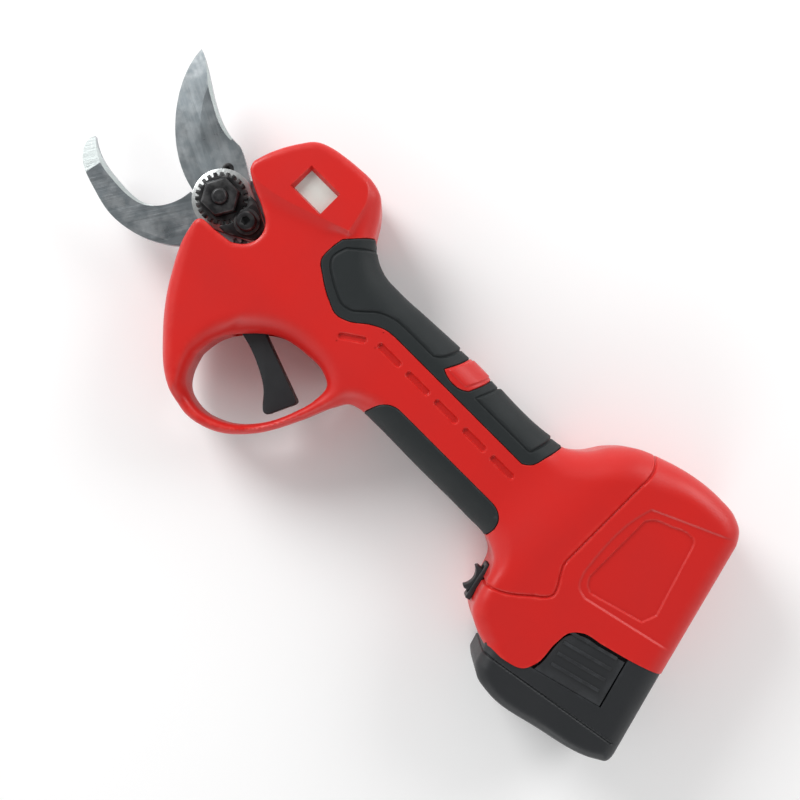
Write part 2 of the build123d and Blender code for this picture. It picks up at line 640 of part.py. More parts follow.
with BuildPart() as battery_case:
    add(slab(plan(*case_face_outline), -face_half, face_half))
    add(slab(pack_face(*tongue_v, pack_top, seam_left), -pack_half, pack_half))
    add(slab(cell_room, -inner_half, inner_half), mode=Mode.SUBTRACT)
    for sign in (1, -1):
        low, high = sorted((sign * (pack_half - 0.4), sign * (face_half + 1)))
        add(slab(latch_pocket, low, high), mode=Mode.SUBTRACT)
battery_case.part.label = "battery_case"
export_step(battery_case.part, "parts/battery_case.step")

with BuildPart() as battery_base:
    add(rimmed(cap_outline, face_half, 1.2))
    add(slab(cell_room, -inner_half, inner_half), mode=Mode.SUBTRACT)
battery_base.part.label = "battery_base"
export_step(battery_base.part, "parts/battery_base.step")

latch_top = plan(*inward(exposed_edge + [[exposed_edge[-1][-1], at_pack(battery_width, 30)],
                                         [at_pack(battery_width, 30), at_pack(0, 30)],
                                         [at_pack(0, 30), exposed_edge[0][0]]], 0.8))
latch_face = latch_top & pack_face(*latch_v, latch_u[0] - 14, latch_u[1])
rib_count = 4
for side, sign in (("left", 1), ("right", -1)):
    with BuildPart() as latch:
        low, high = sorted((sign * (face_half - 0.4), sign * (face_half - 0.4 - latch_depth)))
        add(slab(latch_face, low, high))
        for n in range(rib_count):
            reach = 2.5 + 4.4 * n
            low, high = sorted((sign * (face_half - 0.6), sign * face_half))
            add(slab(pack_face(latch_v[0] + 3, latch_v[1] - 6, reach, reach + 1.1), low, high))
    latch.part.label = f"latch_{side}"
    export_step(latch.part, f"parts/latch_{side}.step")

cell_u0 = pack_top + pack_wall + 2.4
first_cell = tongue_v[0] + pack_wall + 0.1 + cell_d / 2
layer = (cell_d + cell_gap) * sin(pi / 3) / 2
with BuildPart() as cells:
    for height, count, start in ((-layer, 3, first_cell), (layer, 2, first_cell + (cell_d + cell_gap) / 2)):
        for n in range(count):
            middle = at_pack(start + n * (cell_d + cell_gap), cell_u0)
            with BuildSketch(Plane(origin=place(*middle, height), x_dir=(0, 0, 1), z_dir=(*out_dir, 0))):
                Circle(cell_d / 2)
            extrude(amount=cell_length)
cells.part.label = "cells"
export_step(cells.part, "parts/cells.step")

with BuildPart() as battery_board:
    add(slab(pack_face(tongue_v[0] + 4, tongue_v[1] - 4, pack_top + pack_wall, pack_top + pack_wall + 1.4),
             -inner_half + 2, inner_half - 2))
battery_board.part.label = "battery_board"
export_step(battery_board.part, "parts/battery_board.step")

contact_v = (tongue_v[0] + 14, tongue_v[0] + 24, tongue_v[0] + 34)
with BuildPart() as battery_contacts:
    for v in contact_v:
        add(slab(pack_face(v, v + 4, pack_top - 0.6, pack_top), -3, 3))
battery_contacts.part.label = "battery_contacts"
export_step(battery_contacts.part, "parts/battery_contacts.step")

# ---------------------------------------------------------------- power switch
switch_at = rear([(11.3, -32.8)])[0]
switch_plane = Plane(origin=place(*switch_at), x_dir=(0.21, -0.9777, 0), z_dir=(-0.9777, -0.21, 0))


def on_switch(length, width, low, high, along=0.0):
    """A block on the switch's axis, heights counted outwards from the housing wall."""
    with BuildPart(mode=Mode.PRIVATE) as body:
        with BuildSketch(switch_plane.offset(low)):
            with Locations((along, 0)):
                Rectangle(length, width)
        extrude(amount=high - low)
    return body.part


with BuildPart() as switch_body:
    add(on_switch(15, 10.4, -0.5, 1.5))
    add(on_switch(12.8, 8.6, -6.5, 0))
    add(on_switch(11.4, 7.0, -3.2, 3), mode=Mode.SUBTRACT)
    for along in (-3.5, 3.5):
        add(on_switch(0.8, 4.8, -7.7, -6.5, along))
switch_body.part.label = "switch_body"
export_step(switch_body.part, "parts/switch_body.step")

rocker_half = 3.2
with BuildPart() as switch_rocker:
    rocker_plane = Plane(origin=place(*switch_at, -rocker_half), x_dir=switch_plane.z_dir, z_dir=(0, 0, 1))
    with BuildSketch(rocker_plane):
        with BuildLine():
            Polyline((-1.6, -4.6), (3.6, -5.0), (4.4, -4.2))
            ThreePointArc((4.4, -4.2), (2.3, 0), (4.4, 4.2))
            Polyline((4.4, 4.2), (3.6, 5.0), (-1.6, 4.6), (-2.2, 0), (-1.6, -4.6))
        make_face()
    extrude(amount=2 * rocker_half)
switch_rocker.part.label = "switch_rocker"
export_step(switch_rocker.part, "parts/switch_rocker.step")

# ---------------------------------------------------------------- display
window = (17.8, 31.8, 21.2, 31.2)
window_height = head_half - 3.4
with BuildPart() as display_window:
    add(block(window[0] + seat, window[1] - seat, window[2] + seat, window[3] - seat,
              window_height - 1.2, window_height))
display_window.part.label = "display_window"
export_step(display_window.part, "parts/display_window.step")

with BuildPart() as display_board:
    add(block(window[0], window[1] + 3, window[2] - 3, window[3] + 1,
              window_height - 6.2, window_height - 4.8))
    add(block(window[0] + 0.5, window[1] - 0.5, window[2] + 0.5, window[3] - 0.5,
              window_height - 4.8, window_height - 1.6))
display_board.part.label = "display_board"
export_step(display_board.part, "parts/display_board.step")

# ---------------------------------------------------------------- electronics
board_x = (motor_x + motor_length + 4, rear_x + 2)
with BuildPart() as control_board:
    add(block(*board_x, -11.5, 13, -1, 0.6))
    for n in range(3):
        add(block(board_x[0] + 3 + 9 * n, board_x[0] + 9 + 9 * n, -9, -2, 0.6, 3))
    add(rod(board_x[1] - 6, 7, 8, 0.6, 9))
control_board.part.label = "control_board"
export_step(control_board.part, "parts/control_board.step")

block_u = pack_top - pack_clearance - 3.0
with BuildPart() as terminal_block:
    add(slab(pack_face(tongue_v[0] + 9, tongue_v[0] + 43, block_u - 8, block_u), -7, 7))
    for v in contact_v:
        add(slab(pack_face(v + 0.5, v + 3.5, block_u, pack_top - 0.8), -2, 2))
terminal_block.part.label = "terminal_block"
export_step(terminal_block.part, "parts/terminal_block.step")

# ---------------------------------------------------------------- housing
outer = tool_form(0, front_outline)
core = tool_form(shell_wall, head_core)
seat_form = tool_form(rubber_depth, front_outline)

spine_face = plan(
    [(52, 29.6), (44, 20.5)],
    [(44, 20.5), (43.2, 15), (43.6, 10.2), (48.5, 6), (56.5, 1.4), (61.5, -0.3), (66, 1), (73, 6), (78, 8.4),
     (84, 9)],
    [(84, 9), (rear_x - 10, 9)],
    [(rear_x - 10, 9), (rear_x - 7.4, 11), (rear_x - 5.3, 17), (rear_x - 3.4, 24)],
    [(rear_x - 3.4, 24), (rear_x - 3.4, 36)], [(rear_x - 3.4, 36), (57, 36)], [(57, 36), (52, 29.6)])
pad_face = polygon((103, 13), (114.5, 13), (118, 23), (118, 30), (107, 30), (107, 23))
palm_face = plan(
    [(93.5, -18), (95.8, -12.2), (99, -9.4), (104, -8.5)], [(104, -8.5), (rear_x - 8, -8.5)],
    [(rear_x - 8, -8.5), (rear_x - 3, -10.2), (rear_x - 0.6, -14), (rear_x - 0.5, -18)],
    [(rear_x - 0.5, -18), (rear_x - 0.5, -24)], [(rear_x - 0.5, -24), (93.5, -24)],
    [(93.5, -24), (93.5, -18)])

with BuildPart() as skin:
    add(outer)
    add(seat_form, mode=Mode.SUBTRACT)
with BuildPart() as spine_grip:
    add(skin.part)
    add(slab(spine_face - pad_face, -40, 40), mode=Mode.INTERSECT)
spine_grip.part.label = "spine_grip"
export_step(spine_grip.part, "parts/spine_grip.step")
with BuildPart() as palm_grip:
    add(skin.part)
    add(slab(palm_face, -40, 40), mode=Mode.INTERSECT)
palm_grip.part.label = "palm_grip"
export_step(palm_grip.part, "parts/palm_grip.step")

bay_v = (shell_wall, tongue_v[1] + pack_clearance)
bay_top = pack_top - pack_clearance
bay_half = pack_half + pack_clearance
screw_points = [(14, 31), (49, 19.5), (11, -28), (25, -42), (90, 17.6), (130, 17.6), (rear_x + 8, -13),
                (rear_x + 17, 37), (rear_x + 57, 43.5)]
boss_d = screw_d + 3.4
screw_reach = 9.0
case_room = grown(case_face, free)
cover_room = grown(plate_face, free)
trigger_slot = polygon((38.6, -33.5), (36, -26), (36, -18), (40.5, -15.2), (47.5, -16.8), (50.5, -21.2),
                       (50.5, -34))
gear_room_top = blade_gap + blade_thickness + 0.3


def housing_half(upper):
    """One housing half: the walls on one side of the parting plane, with bosses and openings."""
    sign = 1 if upper else -1

    def side_slab(face, near, far):
        return slab(face, *sorted((sign * near, sign * far)))

    bay_walls = pack_face(bay_v[0] - shell_wall, bay_v[1] + shell_wall, bay_top - shell_wall, 60)
    bosses = [side_slab(disc(x, y, boss_d / 2), -1, 40) for x, y in screw_points]
    with BuildPart(mode=Mode.PRIVATE) as hollow:
        add(keep_side(core, upper))
        add([side_slab(bay_walls, -1, 60), side_slab(disc(*trigger_pin, 3.4), pin_reach - 2.5, 40)] + bosses,
            mode=Mode.SUBTRACT)
    cuts = [
        side_slab(plan(*loop_outline), -1, 30),
        side_slab(pack_face(*bay_v, bay_top, 60), -1, bay_half),
        side_slab(pack_face(bay_v[0] + 8, bay_v[0] + 46, bay_top - shell_wall - 1, bay_top + 1), -1, 7.4),
        side_slab(trigger_slot, -1, trigger_width / 2 + free),
        side_slab(disc(*trigger_pin, trigger_pin_d / 2 + seat), -1, pin_reach + 0.1),
        on_switch(15.2, 10.6, -0.5, 12),
        on_switch(12.9, 8.7, -8, 1),
        side_slab(case_room, -1, cover_low if upper else free - case_low),
        side_slab(disc(*pivot, spur_radius + spur_module + 0.8), -1, gear_room_top),
        side_slab(disc(shaft_x, pivot[1], pinion_radius + spur_module + 0.8), -1, gear_room_top),
    ]
    cuts += [side_slab(polygon((a, 2), (b, 2), (b, 4), (a, 4)), grip_half - 1.0, 40) for a, b in slot_spans]
    if upper:
        cuts += [slab(cover_room, -1, disc_low + 0.3), block(*window, window_height - 8, 40)]
        cuts += [rod(x, y, screw_d - 0.2, -1, screw_reach) for x, y in screw_points]
    else:
        cuts += [slab(grown(fixed_face, 0.3), -blade_thickness - 0.3, 1)]
        cuts += [rod(x, y, screw_d + 0.4, -40, 1) for x, y in screw_points]
        cuts += [rod(x, y, screw_d + 3.0, -40, screw_head_height) for x, y in screw_points]
    with BuildPart(mode=Mode.PRIVATE) as half:
        add(keep_side(outer, upper))
        add(hollow.part, mode=Mode.SUBTRACT)
        add(skin_grips, mode=Mode.SUBTRACT)
        add(cuts, mode=Mode.SUBTRACT)
    return half.part


screw_head_height = -8.0
slot_pitch, slot_length = 14.4, 11.0
slot_spans = [(80 + slot_pitch * n, 80 + slot_pitch * n + slot_length) for n in range(5)]
with BuildPart() as grips_together:
    add(spine_grip.part)
    add(palm_grip.part)
skin_grips = grips_together.part
with BuildPart() as left_housing:
    add(housing_half(True))
left_housing.part.label = "left_housing"
export_step(left_housing.part, "parts/left_housing.step")
with BuildPart() as right_housing:
    add(housing_half(False))
right_housing.part.label = "right_housing"
export_step(right_housing.part, "parts/right_housing.step")

with BuildPart() as housing_screws:
    for x, y in screw_points:
        add(rod(x, y, screw_d - 0.3, screw_head_height, screw_reach - 0.5))
        add(rod(x, y, screw_d + 2.6, screw_head_height - 2.2, screw_head_height))
        with BuildSketch(mid.offset(screw_head_height - 2.2)):
            with Locations((x, y)):
                RegularPolygon(1.1, 6)
        extrude(amount=1.2, mode=Mode.SUBTRACT)
housing_screws.part.label = "housing_screws"
export_step(housing_screws.part, "parts/housing_screws.step")
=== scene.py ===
import bpy
import bmesh
import numpy as np
from math import cos, sin, pi, radians
from mathutils import Matrix, Vector
from mathutils.bvhtree import BVHTree


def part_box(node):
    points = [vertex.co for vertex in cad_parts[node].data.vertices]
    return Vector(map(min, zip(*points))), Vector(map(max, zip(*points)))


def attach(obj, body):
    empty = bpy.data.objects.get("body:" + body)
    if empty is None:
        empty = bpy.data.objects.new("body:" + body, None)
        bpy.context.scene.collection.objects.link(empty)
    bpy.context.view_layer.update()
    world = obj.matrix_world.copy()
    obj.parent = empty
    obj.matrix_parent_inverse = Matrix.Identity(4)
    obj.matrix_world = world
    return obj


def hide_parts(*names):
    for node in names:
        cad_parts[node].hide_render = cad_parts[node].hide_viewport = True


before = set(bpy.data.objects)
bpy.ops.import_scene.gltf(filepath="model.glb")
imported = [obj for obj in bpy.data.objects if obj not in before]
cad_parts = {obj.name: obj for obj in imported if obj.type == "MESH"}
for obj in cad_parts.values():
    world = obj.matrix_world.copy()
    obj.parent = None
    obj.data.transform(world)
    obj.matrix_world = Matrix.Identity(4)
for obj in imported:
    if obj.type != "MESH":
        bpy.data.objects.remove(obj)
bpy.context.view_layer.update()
mm = 0.001

# the tool's own axes in millimetres: x from the blades to the battery, y towards the spine,
# height from the parting plane; pivotPlan is the pivot bolt on them
pivotPlan = (0.6, 0.3)
boltLow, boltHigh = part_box("pivot_bolt")
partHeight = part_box("left_housing")[0][2]
toolOrigin = Vector(((boltLow[0] + boltHigh[0]) / 2 - pivotPlan[0] * mm,
                     (boltLow[1] + boltHigh[1]) / 2 - pivotPlan[1] * mm, partHeight))
rearHalf = (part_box("left_housing")[1][2] - partHeight) / mm


def atTool(x, y, z=0.0):
    return Vector((x, y, z)) * mm + toolOrigin


def ease(start, end, value):
    t = np.clip((value - start) / (end - start), 0, 1)
    return t * t * (3 - 2 * t)


# ---- plan curves
def through(points, step=0.8):
    p = np.array(points, float)
    if len(p) < 3:
        count = max(1, int(np.hypot(*(p[1] - p[0])[:2]) / 3))
        t = np.linspace(0, 1, count + 1)[:, None]
        return p[0] * (1 - t) + p[1] * t
    gaps = np.hypot(*(p[1:] - p[:-1])[:, :2].T)
    slopes = (p[1:] - p[:-1]) / gaps[:, None]
    tangents = np.empty_like(p)
    tangents[1:-1] = (slopes[:-1] * gaps[1:, None] + slopes[1:] * gaps[:-1, None]) / (gaps[1:] + gaps[:-1])[:, None]
    tangents[0] = 1.5 * slopes[0] - 0.5 * tangents[1]
    tangents[-1] = 1.5 * slopes[-1] - 0.5 * tangents[-2]
    pieces = []
    for n, gap in enumerate(gaps):
        t = np.linspace(0, 1, max(2, int(gap / step)), endpoint=False)[:, None]
        pieces.append((2 * t**3 - 3 * t**2 + 1) * p[n] + (t**3 - 2 * t**2 + t) * gap * tangents[n]
                      + (3 * t**2 - 2 * t**3) * p[n + 1] + (t**3 - t**2) * gap * tangents[n + 1])
    return np.vstack(pieces + [p[-1:]])


def closedLoop(runs, step=0.8):
    loop = np.vstack([through(run, step)[:-1] for run in runs])
    area = np.sum(loop[:, 0] * np.roll(loop[:, 1], -1) - loop[:, 1] * np.roll(loop[:, 0], -1))
    return loop if area > 0 else loop[::-1]


def fence(*loops, closed=True):
    # upright walls along plan loops; material lies to the left of each
    starts, ends = [], []
    for loop in loops:
        starts.append(loop if closed else loop[:-1])
        ends.append(np.roll(loop, -1, axis=0) if closed else loop[1:])
    a, b = np.vstack(starts), np.vstack(ends)
    along = (b - a)[:, :2]
    along /= np.hypot(*along.T)[:, None]
    left = np.stack([-along[:, 1], along[:, 0]], 1)
    before, after = left.copy(), left.copy()
    base = 0
    for part in starts:
        rows = np.arange(base, base + len(part))
        blended = left[rows] + left[np.roll(rows, 1)]
        if not closed:
            blended[0] = left[rows[0]]
        before[rows] = blended
        after[rows] = np.roll(blended, -1, axis=0)
        if not closed:
            after[rows[-1]] = left[rows[-1]]
        base += len(part)
    corners = [(x, y, z) for (x, y), (u, v) in zip(a[:, :2].tolist(), b[:, :2].tolist())
               for x, y, z in ((x, y, -1), (u, v, -1), (u, v, 1), (x, y, 1))]
    walls = [(4 * n, 4 * n + 1, 4 * n + 2, 4 * n + 3) for n in range(len(a))]
    return {"a": a, "b": b, "before": before, "after": after, "tree": BVHTree.FromPolygons(corners, walls)}


def measure(walls, xy):
    # signed reach into the material, nearest wall point, inward direction and edge value there
    find = walls["tree"].find_nearest
    spots, faces = np.empty((len(xy), 2)), np.empty(len(xy), int)
    for n, (x, y) in enumerate(xy.tolist()):
        spot, _, face, _ = find((x, y, 0.0))
        spots[n] = spot[0], spot[1]
        faces[n] = face
    a, b = walls["a"][faces], walls["b"][faces]
    run = (b - a)[:, :2]
    t = np.clip(np.sum((spots - a[:, :2]) * run, 1) / np.sum(run * run, 1), 0, 1)[:, None]
    inward = walls["before"][faces] * (1 - t) + walls["after"][faces] * t
    inward /= np.maximum(np.hypot(*inward.T), 1e-9)[:, None]
    away = xy - spots
    reach = np.hypot(*away.T)
    signed = np.where(np.sum(away * inward, 1) < 0, -reach, reach)
    edge = (a * (1 - t) + b * t)[:, 2] if a.shape[1] > 2 else None
    return signed, spots, inward, edge


def region(*runs):
    return fence(closedLoop(runs))


def inside(walls, xy, margin=3.0):
    # signed reach, worked out only near the region
    low, high = walls["a"][:, :2].min(0) - margin, walls["a"][:, :2].max(0) + margin
    close = np.all((xy > low) & (xy < high), axis=1)
    reach = np.full(len(xy), -margin)
    if close.any():
        reach[close] = measure(walls, xy[close])[0]
    return reach


# ---- the red body: plan points with the radius of the rounded edge there
body = {
    "bodyHalf": 17.0, "gripHalf": 17.5, "guardDrop": 7.8,
    "plateau": 19.0, "plateauTilt": 0.07, "plateauSide": 0.5, "plateauBlend": 0.9,
    "voxel": 1.0, "groove": 0.8, "grooveWidth": 0.8, "slotDepth": 1.0, "gripSeat": 1.3,
}
bodyRuns = [
    [(1.5, 18, 1.6), (4, 26, 2.4), (8, 33.5, 2.6), (12, 38.8, 2.8), (20, 42, 3.0)],
    [(20, 42, 3.0), (30, 43.2, 3.2), (37, 43.3, 3.6), (42, 41.8, 4.5), (47, 36.6, 6.0), (52, 29, 7.0),
     (57, 24.5, 8.5), (63, 22, 9.5), (72, 21.4, 10), (85, 22, 10.5), (107, 23, 10.5), (148, 23.3, 10.5),
     (155, 24.6, 10.5), (161, 29, 11), (167, 37.2, 12.5), (173, 42.6, 13), (183, 47, 12.5), (195, 50.2, 10),
     (207, 51.2, 9), (215, 50.4, 8.5), (220, 47.8, 8), (223.3, 43, 8)],
    [(223.3, 43, 8), (236.6, -8.5, 8)],
    [(236.6, -8.5, 8), (245.3, -42, 7)],
    [(245.3, -42, 7), (244.4, -45.4, 5), (241, -47.6, 4.2), (217.5, -54.8, 4), (196, -58.2, 4),
     (189.7, -57, 4.6), (185.6, -53.8, 6)],
    [(185.6, -53.8, 6), (183.5, -46.6, 6)],
    [(183.5, -46.6, 6), (177, -44.4, 6), (171.5, -40.6, 5), (169.3, -36, 4), (167.6, -29.5, 4), (164.4, -22.6, 6),
     (157, -18.8, 9), (147, -18.4, 10.5), (120, -18.4, 10.5), (100, -18.2, 10.5), (93, -18.4, 9), (88, -19.8, 7),
     (84, -25.5, 3.6), (79, -37, 2.9), (70, -53, 2.6), (60, -62, 2.3), (47, -65.5, 2.3), (35, -62, 3.2),
     (20, -50, 5), (8, -33, 5), (2, -20, 4), (1, -12.5, 1.6)],
    [(1, -12.5, 1.6), (1.5, -11, 1.2), (9, -9.5, 1.2), (17, -8, 1.2), (21, -4, 1.2), (22, 0, 1.2), (20, 5, 1.2),
     (16, 7.7, 1.2), (6, 12.6, 1.2), (2.5, 15.2, 1.2), (1.5, 18, 1.6)],
]
loopRuns = [
    [(34.5, -46.5, 4.8), (36, -37, 6.5), (42, -28.6, 8), (52, -20.6, 8), (64, -18.2, 8), (72, -18.4, 6.5),
     (77, -21, 5), (77.6, -28, 3.2), (75.4, -36, 2.8), (70, -47, 2.6), (60, -57.2, 2.3), (49.5, -60.6, 2.3),
     (39.5, -57.5, 3.2), (34.5, -46.5, 4.8)],
]
bodyLoop = closedLoop(bodyRuns)
fingerLoop = closedLoop(loopRuns)[::-1]
bodyWalls = fence(bodyLoop, fingerLoop)
plateauWalls = region([(2, 15), (8.5, 14), (13.5, 14.6), (21.5, 16.6), (29, 19.2), (37, 22)],
                      [(37, 22), (43.6, 24.2)], [(43.6, 24.2), (42, 31.5), (40.4, 36.6), (38, 39.6)],
                      [(38, 39.6), (28, 46), (14.5, 46), (-6, 30)], [(-6, 30), (2, 15)])


def halfThickness(xy):
    x, y = xy.T
    low = ease(-8, -54, y) * (1 - ease(84, 118, x))
    high = body["bodyHalf"] + (body["gripHalf"] - body["bodyHalf"]) * ease(60, 85, x)
    high = high - body["guardDrop"] * low + (rearHalf - body["gripHalf"]) * ease(148, 176, x)
    reach = inside(plateauWalls, xy, 9.0)
    steep = body["plateauSide"] * (1 + 1.2 * ease(36, 44, x))
    top = body["plateau"] - body["plateauTilt"] * np.maximum(0, y - 22) + steep * np.minimum(0, reach)
    return 0.5 * (high + top + np.sqrt((high - top) ** 2 + body["plateauBlend"] ** 2))


def project(points):
    # points of the tool, moved onto the rounded form
    xy, z = points[:, :2], points[:, 2]
    reach, spots, inward, edge = measure(bodyWalls, xy)
    half = halfThickness(xy)
    rise = edge * (1 + 0.9 * ease(-34, -52, xy[:, 1]) * (1 - ease(90, 110, xy[:, 0])))
    rise = np.minimum(rise, half - 0.5)
    out = points.copy()
    side = np.where(z < 0, -1.0, 1.0)
    q, w = 1 - reach / edge, (np.abs(z) - (half - rise)) / rise
    flat = q <= 0
    out[flat, 2] = (side * half)[flat]
    upright = ~flat & (w <= 0)
    out[upright, :2] = spots[upright]
    corner = ~flat & (w > 0)
    length = np.maximum(np.hypot(q, w), 1e-6)
    deep = (edge * (1 - q / length))[:, None]
    far = (np.abs(reach) > 0.3)[:, None]
    away = np.where(far, (xy - spots) / np.where(far, reach[:, None], 1), inward)
    out[corner, :2] = (spots + away * deep)[corner]
    out[corner, 2] = (side * (half - rise + rise * w / length))[corner]
    return out


# ---- mesh helpers
def toTool(mesh):
    co = np.empty(len(mesh.vertices) * 3)
    mesh.vertices.foreach_get("co", co)
    return (co.reshape(-1, 3) - np.array(toolOrigin)) / mm


def fromTool(mesh, points):
    mesh.vertices.foreach_set("co", (points * mm + np.array(toolOrigin)).ravel())
    mesh.update()


def newPiece(name, bm, material=None, smooth=True):
    mesh = bpy.data.meshes.new(name)
    for face in bm.faces:
        face.smooth = smooth
    bm.to_mesh(mesh)
    bm.free()
    piece = bpy.data.objects.new(name, mesh)
    bpy.context.scene.collection.objects.link(piece)
    if material:
        mesh.materials.append(material)
    return piece


def prism(name, loops, low, high):
    # a plan face, with its holes, drawn up into a solid between two heights
    bm = bmesh.new()
    for loop in loops:
        corners = [bm.verts.new(atTool(p[0], p[1], low)) for p in loop]
        for a, b in zip(corners, corners[1:] + corners[:1]):
            bm.edges.new((a, b))
    bmesh.ops.triangle_fill(bm, use_beauty=True, edges=bm.edges[:])
    lifted = bmesh.ops.extrude_face_region(bm, geom=bm.faces[:])["geom"]
    bmesh.ops.translate(bm, verts=[v for v in lifted if isinstance(v, bmesh.types.BMVert)],
                        vec=(0, 0, (high - low) * mm))
    bmesh.ops.recalc_face_normals(bm, faces=bm.faces)
    return newPiece(name, bm, smooth=False)


def settle(piece):
    # modifiers applied, so that later steps work on the final mesh
    bpy.context.view_layer.update()
    graph = bpy.context.evaluated_depsgraph_get()
    mesh = bpy.data.meshes.new_from_object(piece.evaluated_get(graph), depsgraph=graph)
    piece.modifiers.clear()
    piece.data = mesh
    return piece


def remeshed(piece, voxel):
    step = piece.modifiers.new("remesh", "REMESH")
    step.mode = "VOXEL"
    step.voxel_size = voxel * mm
    step.use_smooth_shade = True
    return settle(piece)


def cutBy(piece, tools, operation="DIFFERENCE"):
    # tools may overlap each other; they are removed afterwards
    group = bpy.data.collections.new("tools")
    bpy.context.scene.collection.children.link(group)
    for tool in tools:
        group.objects.link(tool)
    step = piece.modifiers.new("cut", "BOOLEAN")
    step.operand_type = "COLLECTION"
    step.collection = group
    step.solver = "EXACT"
    step.operation = operation
    settle(piece)
    for tool in tools:
        bpy.data.objects.remove(tool)
    bpy.data.collections.remove(group)
    return piece


def lathe(name, profile, x, y, material=None, steps=48):
    # a turned part about an upright axis: profile is (radius, height) from axis to axis
    bm = bmesh.new()
    corners = [bm.verts.new(atTool(x + r, y, z)) for r, z in profile]
    for a, b in zip(corners, corners[1:]):
        bm.edges.new((a, b))
    bmesh.ops.spin(bm, geom=bm.verts[:] + bm.edges[:], cent=atTool(x, y), axis=(0, 0, 1), angle=2 * pi,
                   steps=steps, use_merge=True)
    bmesh.ops.remove_doubles(bm, verts=bm.verts, dist=1e-6)
    bmesh.ops.recalc_face_normals(bm, faces=bm.faces)
    return newPiece(name, bm, material)


def nodeCopy(node, name, dissolve=True):
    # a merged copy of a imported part, with its flat faces whole again
    bm = bmesh.new()
    bm.from_mesh(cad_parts[node].data)
    bmesh.ops.remove_doubles(bm, verts=bm.verts, dist=2e-6)
    if dissolve:
        bmesh.ops.dissolve_limit(bm, angle_limit=radians(0.6), verts=bm.verts, edges=bm.edges)
    return bm


def softened(node, name, width, material, body, sharp=30, segments=2):
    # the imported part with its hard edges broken
    bm = nodeCopy(node, name)
    hard = [e for e in bm.edges if len(e.link_faces) == 2 and e.calc_face_angle() > radians(sharp)]
    bmesh.ops.bevel(bm, geom=hard, offset=width * mm, offset_type="OFFSET", segments=segments, profile=0.5,
                    affect="EDGES", clamp_overlap=True, material=-1)
    piece = newPiece(name, bm, material)
    piece.data.set_sharp_from_angle(angle=radians(32))
    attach(piece, body)
    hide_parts(node)
    return piece


def ribbon(name, path, section):
    # a closed section of (reach to the left, height) drawn along a plan path
    line = through(path, 1.5)
    along = np.gradient(line, axis=0)
    along /= np.hypot(*along.T)[:, None]
    left = np.stack([-along[:, 1], along[:, 0]], 1)
    bm = bmesh.new()
    ring = [bm.verts.new(atTool(*(line[0] + left[0] * reach), height)) for reach, height in section]
    edges = [bm.edges.new((a, b)) for a, b in zip(ring, ring[1:] + ring[:1])]
    bm.faces.new(ring)
    for spot, side in zip(line[1:], left[1:]):
        made = bmesh.ops.extrude_edge_only(bm, edges=edges)["geom"]
        fresh = [v for v in made if isinstance(v, bmesh.types.BMVert)]
        edges = [e for e in made if isinstance(e, bmesh.types.BMEdge) and all(v in fresh for v in e.verts)]
        pairs = {}
        for edge in [e for e in made if isinstance(e, bmesh.types.BMEdge) and e not in edges]:
            old = [v for v in edge.verts if v not in fresh][0]
            pairs[ring.index(old)] = [v for v in edge.verts if v in fresh][0]
        if not pairs:
            for v in fresh:
                old = [e.other_vert(v) for e in v.link_edges if e.other_vert(v) in ring][0]
                pairs[ring.index(old)] = v
        ring = [pairs[n] for n in range(len(section))]
        for vert, (reach, height) in zip(ring, section):
            vert.co = atTool(*(spot + side * reach), height)
    bm.faces.new(ring[::-1])
    bmesh.ops.recalc_face_normals(bm, faces=bm.faces)
    return newPiece(name, bm, smooth=False)


# ---- regions drawn on the body
spineRuns = [
    [(52, 29.6), (44, 20.5)],
    [(44, 20.5), (43.2, 15), (43.6, 10.2), (48.5, 6), (56.5, 1.4), (61.5, -0.3), (66, 1), (73, 6), (78, 8.4),
     (84, 9)],
    [(84, 9), (147, 9)], [(147, 9), (149.6, 11), (151.7, 17), (153.6, 24)], [(153.6, 24), (154, 36)],
    [(154, 36), (57, 36)], [(57, 36), (52, 29.6)]]
palmRuns = [
    [(93.5, -26), (93.5, -18)], [(93.5, -18), (94.5, -15), (96, -12), (98, -10), (100, -9), (104, -8.5)],
    [(104, -8.5), (149.5, -8.5)], [(149.5, -8.5), (152.5, -9.2), (155, -11), (156.4, -14), (156.5, -18)],
    [(156.5, -18), (156.5, -26)], [(156.5, -26), (93.5, -26)]]
spineWalls = region(*spineRuns)
palmWalls = region(*palmRuns)
padWalls = region([(103, 13.4), (104.2, 12.8), (113.4, 12.8), (115, 14)], [(115, 14), (118.2, 23), (118.2, 32)],
                  [(118.2, 32), (107, 32)], [(107, 32), (107, 23), (103, 13.4)])
keyWalls = region([(104.6, 14.2), (112.9, 14.2)], [(112.9, 14.2), (116.8, 23), (116.8, 32)],
                  [(116.8, 32), (108.4, 32)], [(108.4, 32), (108.4, 23)], [(108.4, 23), (104.6, 14.2)])
frontPanel = region(
    [(57.5, 34), (55, 26)], [(55, 26), (47.3, 19.2)], [(47.3, 19.2), (46.3, 12.6), (48.5, 10)],
    [(48.5, 10), (56.5, 5.4), (60.5, 4), (64, 4.6), (67.5, 7.4), (72, 11.2), (78, 13.5), (84, 14)],
    [(84, 14), (97, 14)], [(97, 14), (99, 15.5), (102.3, 22.5)], [(102.3, 22.5), (102.8, 34)],
    [(102.8, 34), (57.5, 34)])
backPanel = region([(118.6, 14), (146, 14)], [(146, 14), (148.8, 23), (149.2, 34)], [(149.2, 34), (123, 34)],
                   [(123, 34), (122.4, 23)], [(122.4, 23), (118.6, 14)])
sidePanel = region([(191, 30), (221, 43.5)], [(221, 43.5), (250, 48)], [(250, 48), (250, 4)], [(250, 4), (231.5, -1)],
                   [(231.5, -1), (196.5, -9)], [(196.5, -9), (192.5, -7.8), (189.6, -2)],
                   [(189.6, -2), (189.6, 25), (191, 30)])
